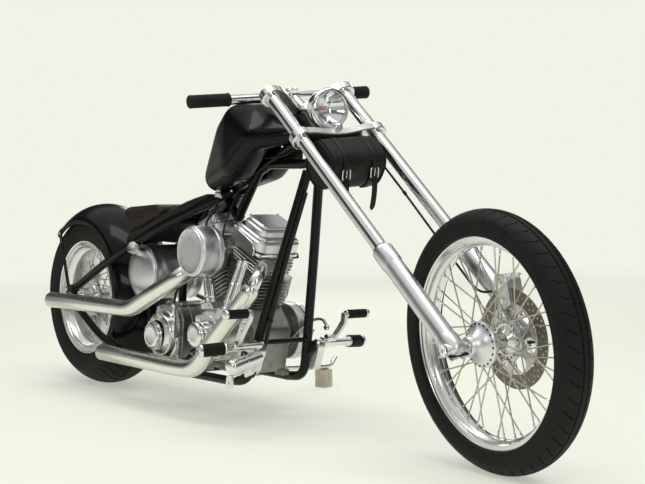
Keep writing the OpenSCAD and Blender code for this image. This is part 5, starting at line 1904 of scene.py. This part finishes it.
def shiftShape():
    shape = Shape()
    outline = [(1180, 262), (1206, 262), (1262, 318), (1264, 352), (1240, 352), (1240, 328)]
    shape.plate(roundedOutline(outline, 9, 5), 151, 163, "satin", bevel=2)
    shape.disc((1193, 268), 130.2, 165, 12, "polished")
    shape.bolt((1193, 164.6, 268), (0, 1, 0), 8, "chrome", kind="dome", height=4)
    pegShape(shape, (1252, 165, 346), (1252, 248, 346), 14)
    return shape


def shiftRodShape():
    # Steel linkage rod with chrome ends on the left of the engine
    shape = Shape()
    route = smoothRoute([(1186, 140, 300), (1150, 146, 330), (1060, 136, 300), (900, 126, 150),
        (660, 124, 150)], 40)
    shape.tube(route, 5, "steel", sides=16)
    for end in (route[0], route[-1]):
        shape.rod(end - Vector((0, 9, 0)), end + Vector((0, 3, 0)), 8, "chrome")
    return shape


def loomShape():
    shape = Shape()
    route = smoothRoute([(1299, -31, 726), (1243, -60, 525), (1184, -80, 320), (1164, -84, 248),
        (1118, -88, 166)], 30)
    shape.tube(route, 6.5, "cable", sides=20)
    for spot, near in (((1274, -46, 636), (1247, -41, 640)), ((1222, -67, 456), (1200, -70, 459)),
            ((1188, -79, 332), (1164, -85, 332))):
        along = (Vector((1243, -60, 525)) - Vector((1184, -80, 320))).normalized()
        shape.rod(Vector(spot) - along * 5, Vector(spot) + along * 5, 8, "frame", sides=24)
        shape.rod(spot, near, 3, "frame", sides=12)
    return shape


def standShape():
    shape = Shape()
    pivot, foot = Vector((760, 168, 120)), Vector((644, 540, 91))
    axis = here(pivot) @ Matrix.Rotation(-radians(7.5), 4, "X") @ alongZ
    shape.lathe([(8.3, -11), (18, -11), (19, -10), (19, 10), (18, 11), (8.3, 11)], "satin", axis, 56)
    root = pivot + (foot - pivot).normalized() * 15
    route = smoothRoute([root, foot + Vector((12, -40, 3)), foot, foot + Vector((-12, 34, 2)),
        foot + Vector((-20, 62, 30))], 16, 8)
    shape.tube(route[:1] + [route[0] + (route[1] - route[0]) * 0.12] + route[1:],
        [11.5, 8.8] + [8.5] * (len(route) - 2) + [7.8], "satin", sides=32)
    # Wear pad under the foot
    shape.tube([foot + Vector((5, -18, -5.6)), foot, foot + Vector((-5, 18, -5.2))], 4.4, "steel", sides=12)
    return shape


def blockShape():
    # Sawn timber offcut under the stand, its pivot tab and pin
    leanedFoot = bike @ (Vector((644, 540, 91)) * 0.001)
    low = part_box("stand_block")[0]
    top = (leanedFoot.z - low[2]) * 1000 - 9.2
    at = (here((leanedFoot.x, leanedFoot.y - 0.008, 0)) @ Matrix.Rotation(radians(14), 4, "Z"))
    shape = Shape()
    outline = roundedOutline([(-22.6, -22.6), (22.8, -22.8), (22.4, 22.8), (-22.8, 22.4)], 2.2, 4)
    rows = []
    for i in range(13):
        z = top * i / 12
        inset = 0.9 if i in (0, 12) else 0.0
        rows.append([(x * (1 - inset / 23) + 0.35 * sin(z / 7 + k),
            y * (1 - inset / 23) + 0.3 * cos(z / 9 + 2 * k), z) for k, (x, y) in enumerate(outline)])
    shape.grid(rows, "timber", closeEnds=True)
    shape.finish("standBlock", at, "chassis", "timber", ["stand_block"], 50)
    tab = Shape()
    pivot = here((760, 168, 120)) @ Matrix.Rotation(-radians(7.5), 4, "X")
    tab.lathe([(0, -20), (7, -20), (8, -19), (8, 19), (7, 20), (0, 20)], "steel", pivot @ alongZ, 36)
    for z in (-15, 15):
        tab.plate(roundedOutline([(-17, 56), (17, 56), (17, -8), (10, -17), (-10, -17), (-17, -8)], 5, 4),
            z - 3.5, z + 3.5, "frame", pivot @ alongZ, bevel=0.9)
        tab.bolt((0, 0, z + (4 if z > 0 else -4)), (0, 0, 1 if z > 0 else -1), 11, "chrome", pivot, height=5)
    tab.finish("standTab", bike, "chassis", "frame_black_paint")


exhaustShape(**exhausts["front"]).finish("frontExhaust", bike, "chassis", "brushed_pipe", ["front_exhaust"])
exhaustShape(**exhausts["rear"]).finish("rearExhaust", bike, "chassis", "brushed_pipe", ["rear_exhaust"])
chainShape().finish("driveChain", bike, "chassis", "chain_steel", ["drive_chain"])
rearCalliperShape().finish("rearCalliper", bike, "chassis", "caliper_black", ["rear_caliper"])
rightControlShape().finish("rightFootControl", bike, "chassis", "polished_aluminium", ["right_foot_control"])
leftControlShape().finish("leftFootControl", bike, "chassis", "polished_aluminium", ["left_foot_control"])
pedalShape().finish("brakePedal", bike, "chassis", "polished_aluminium", ["brake_pedal"])
shiftShape().finish("shiftLever", bike, "chassis", "polished_aluminium", ["shift_lever"])
shiftRodShape().finish("shiftRod", bike, "chassis", "spoke_steel")
loomShape().finish("wiringLoom", bike, "chassis", "cable_black", ["wiring_loom"])
standShape().finish("sideStand", bike, "side_stand", "spoke_steel", ["side_stand"])
blockShape()
print("controls and stand made")
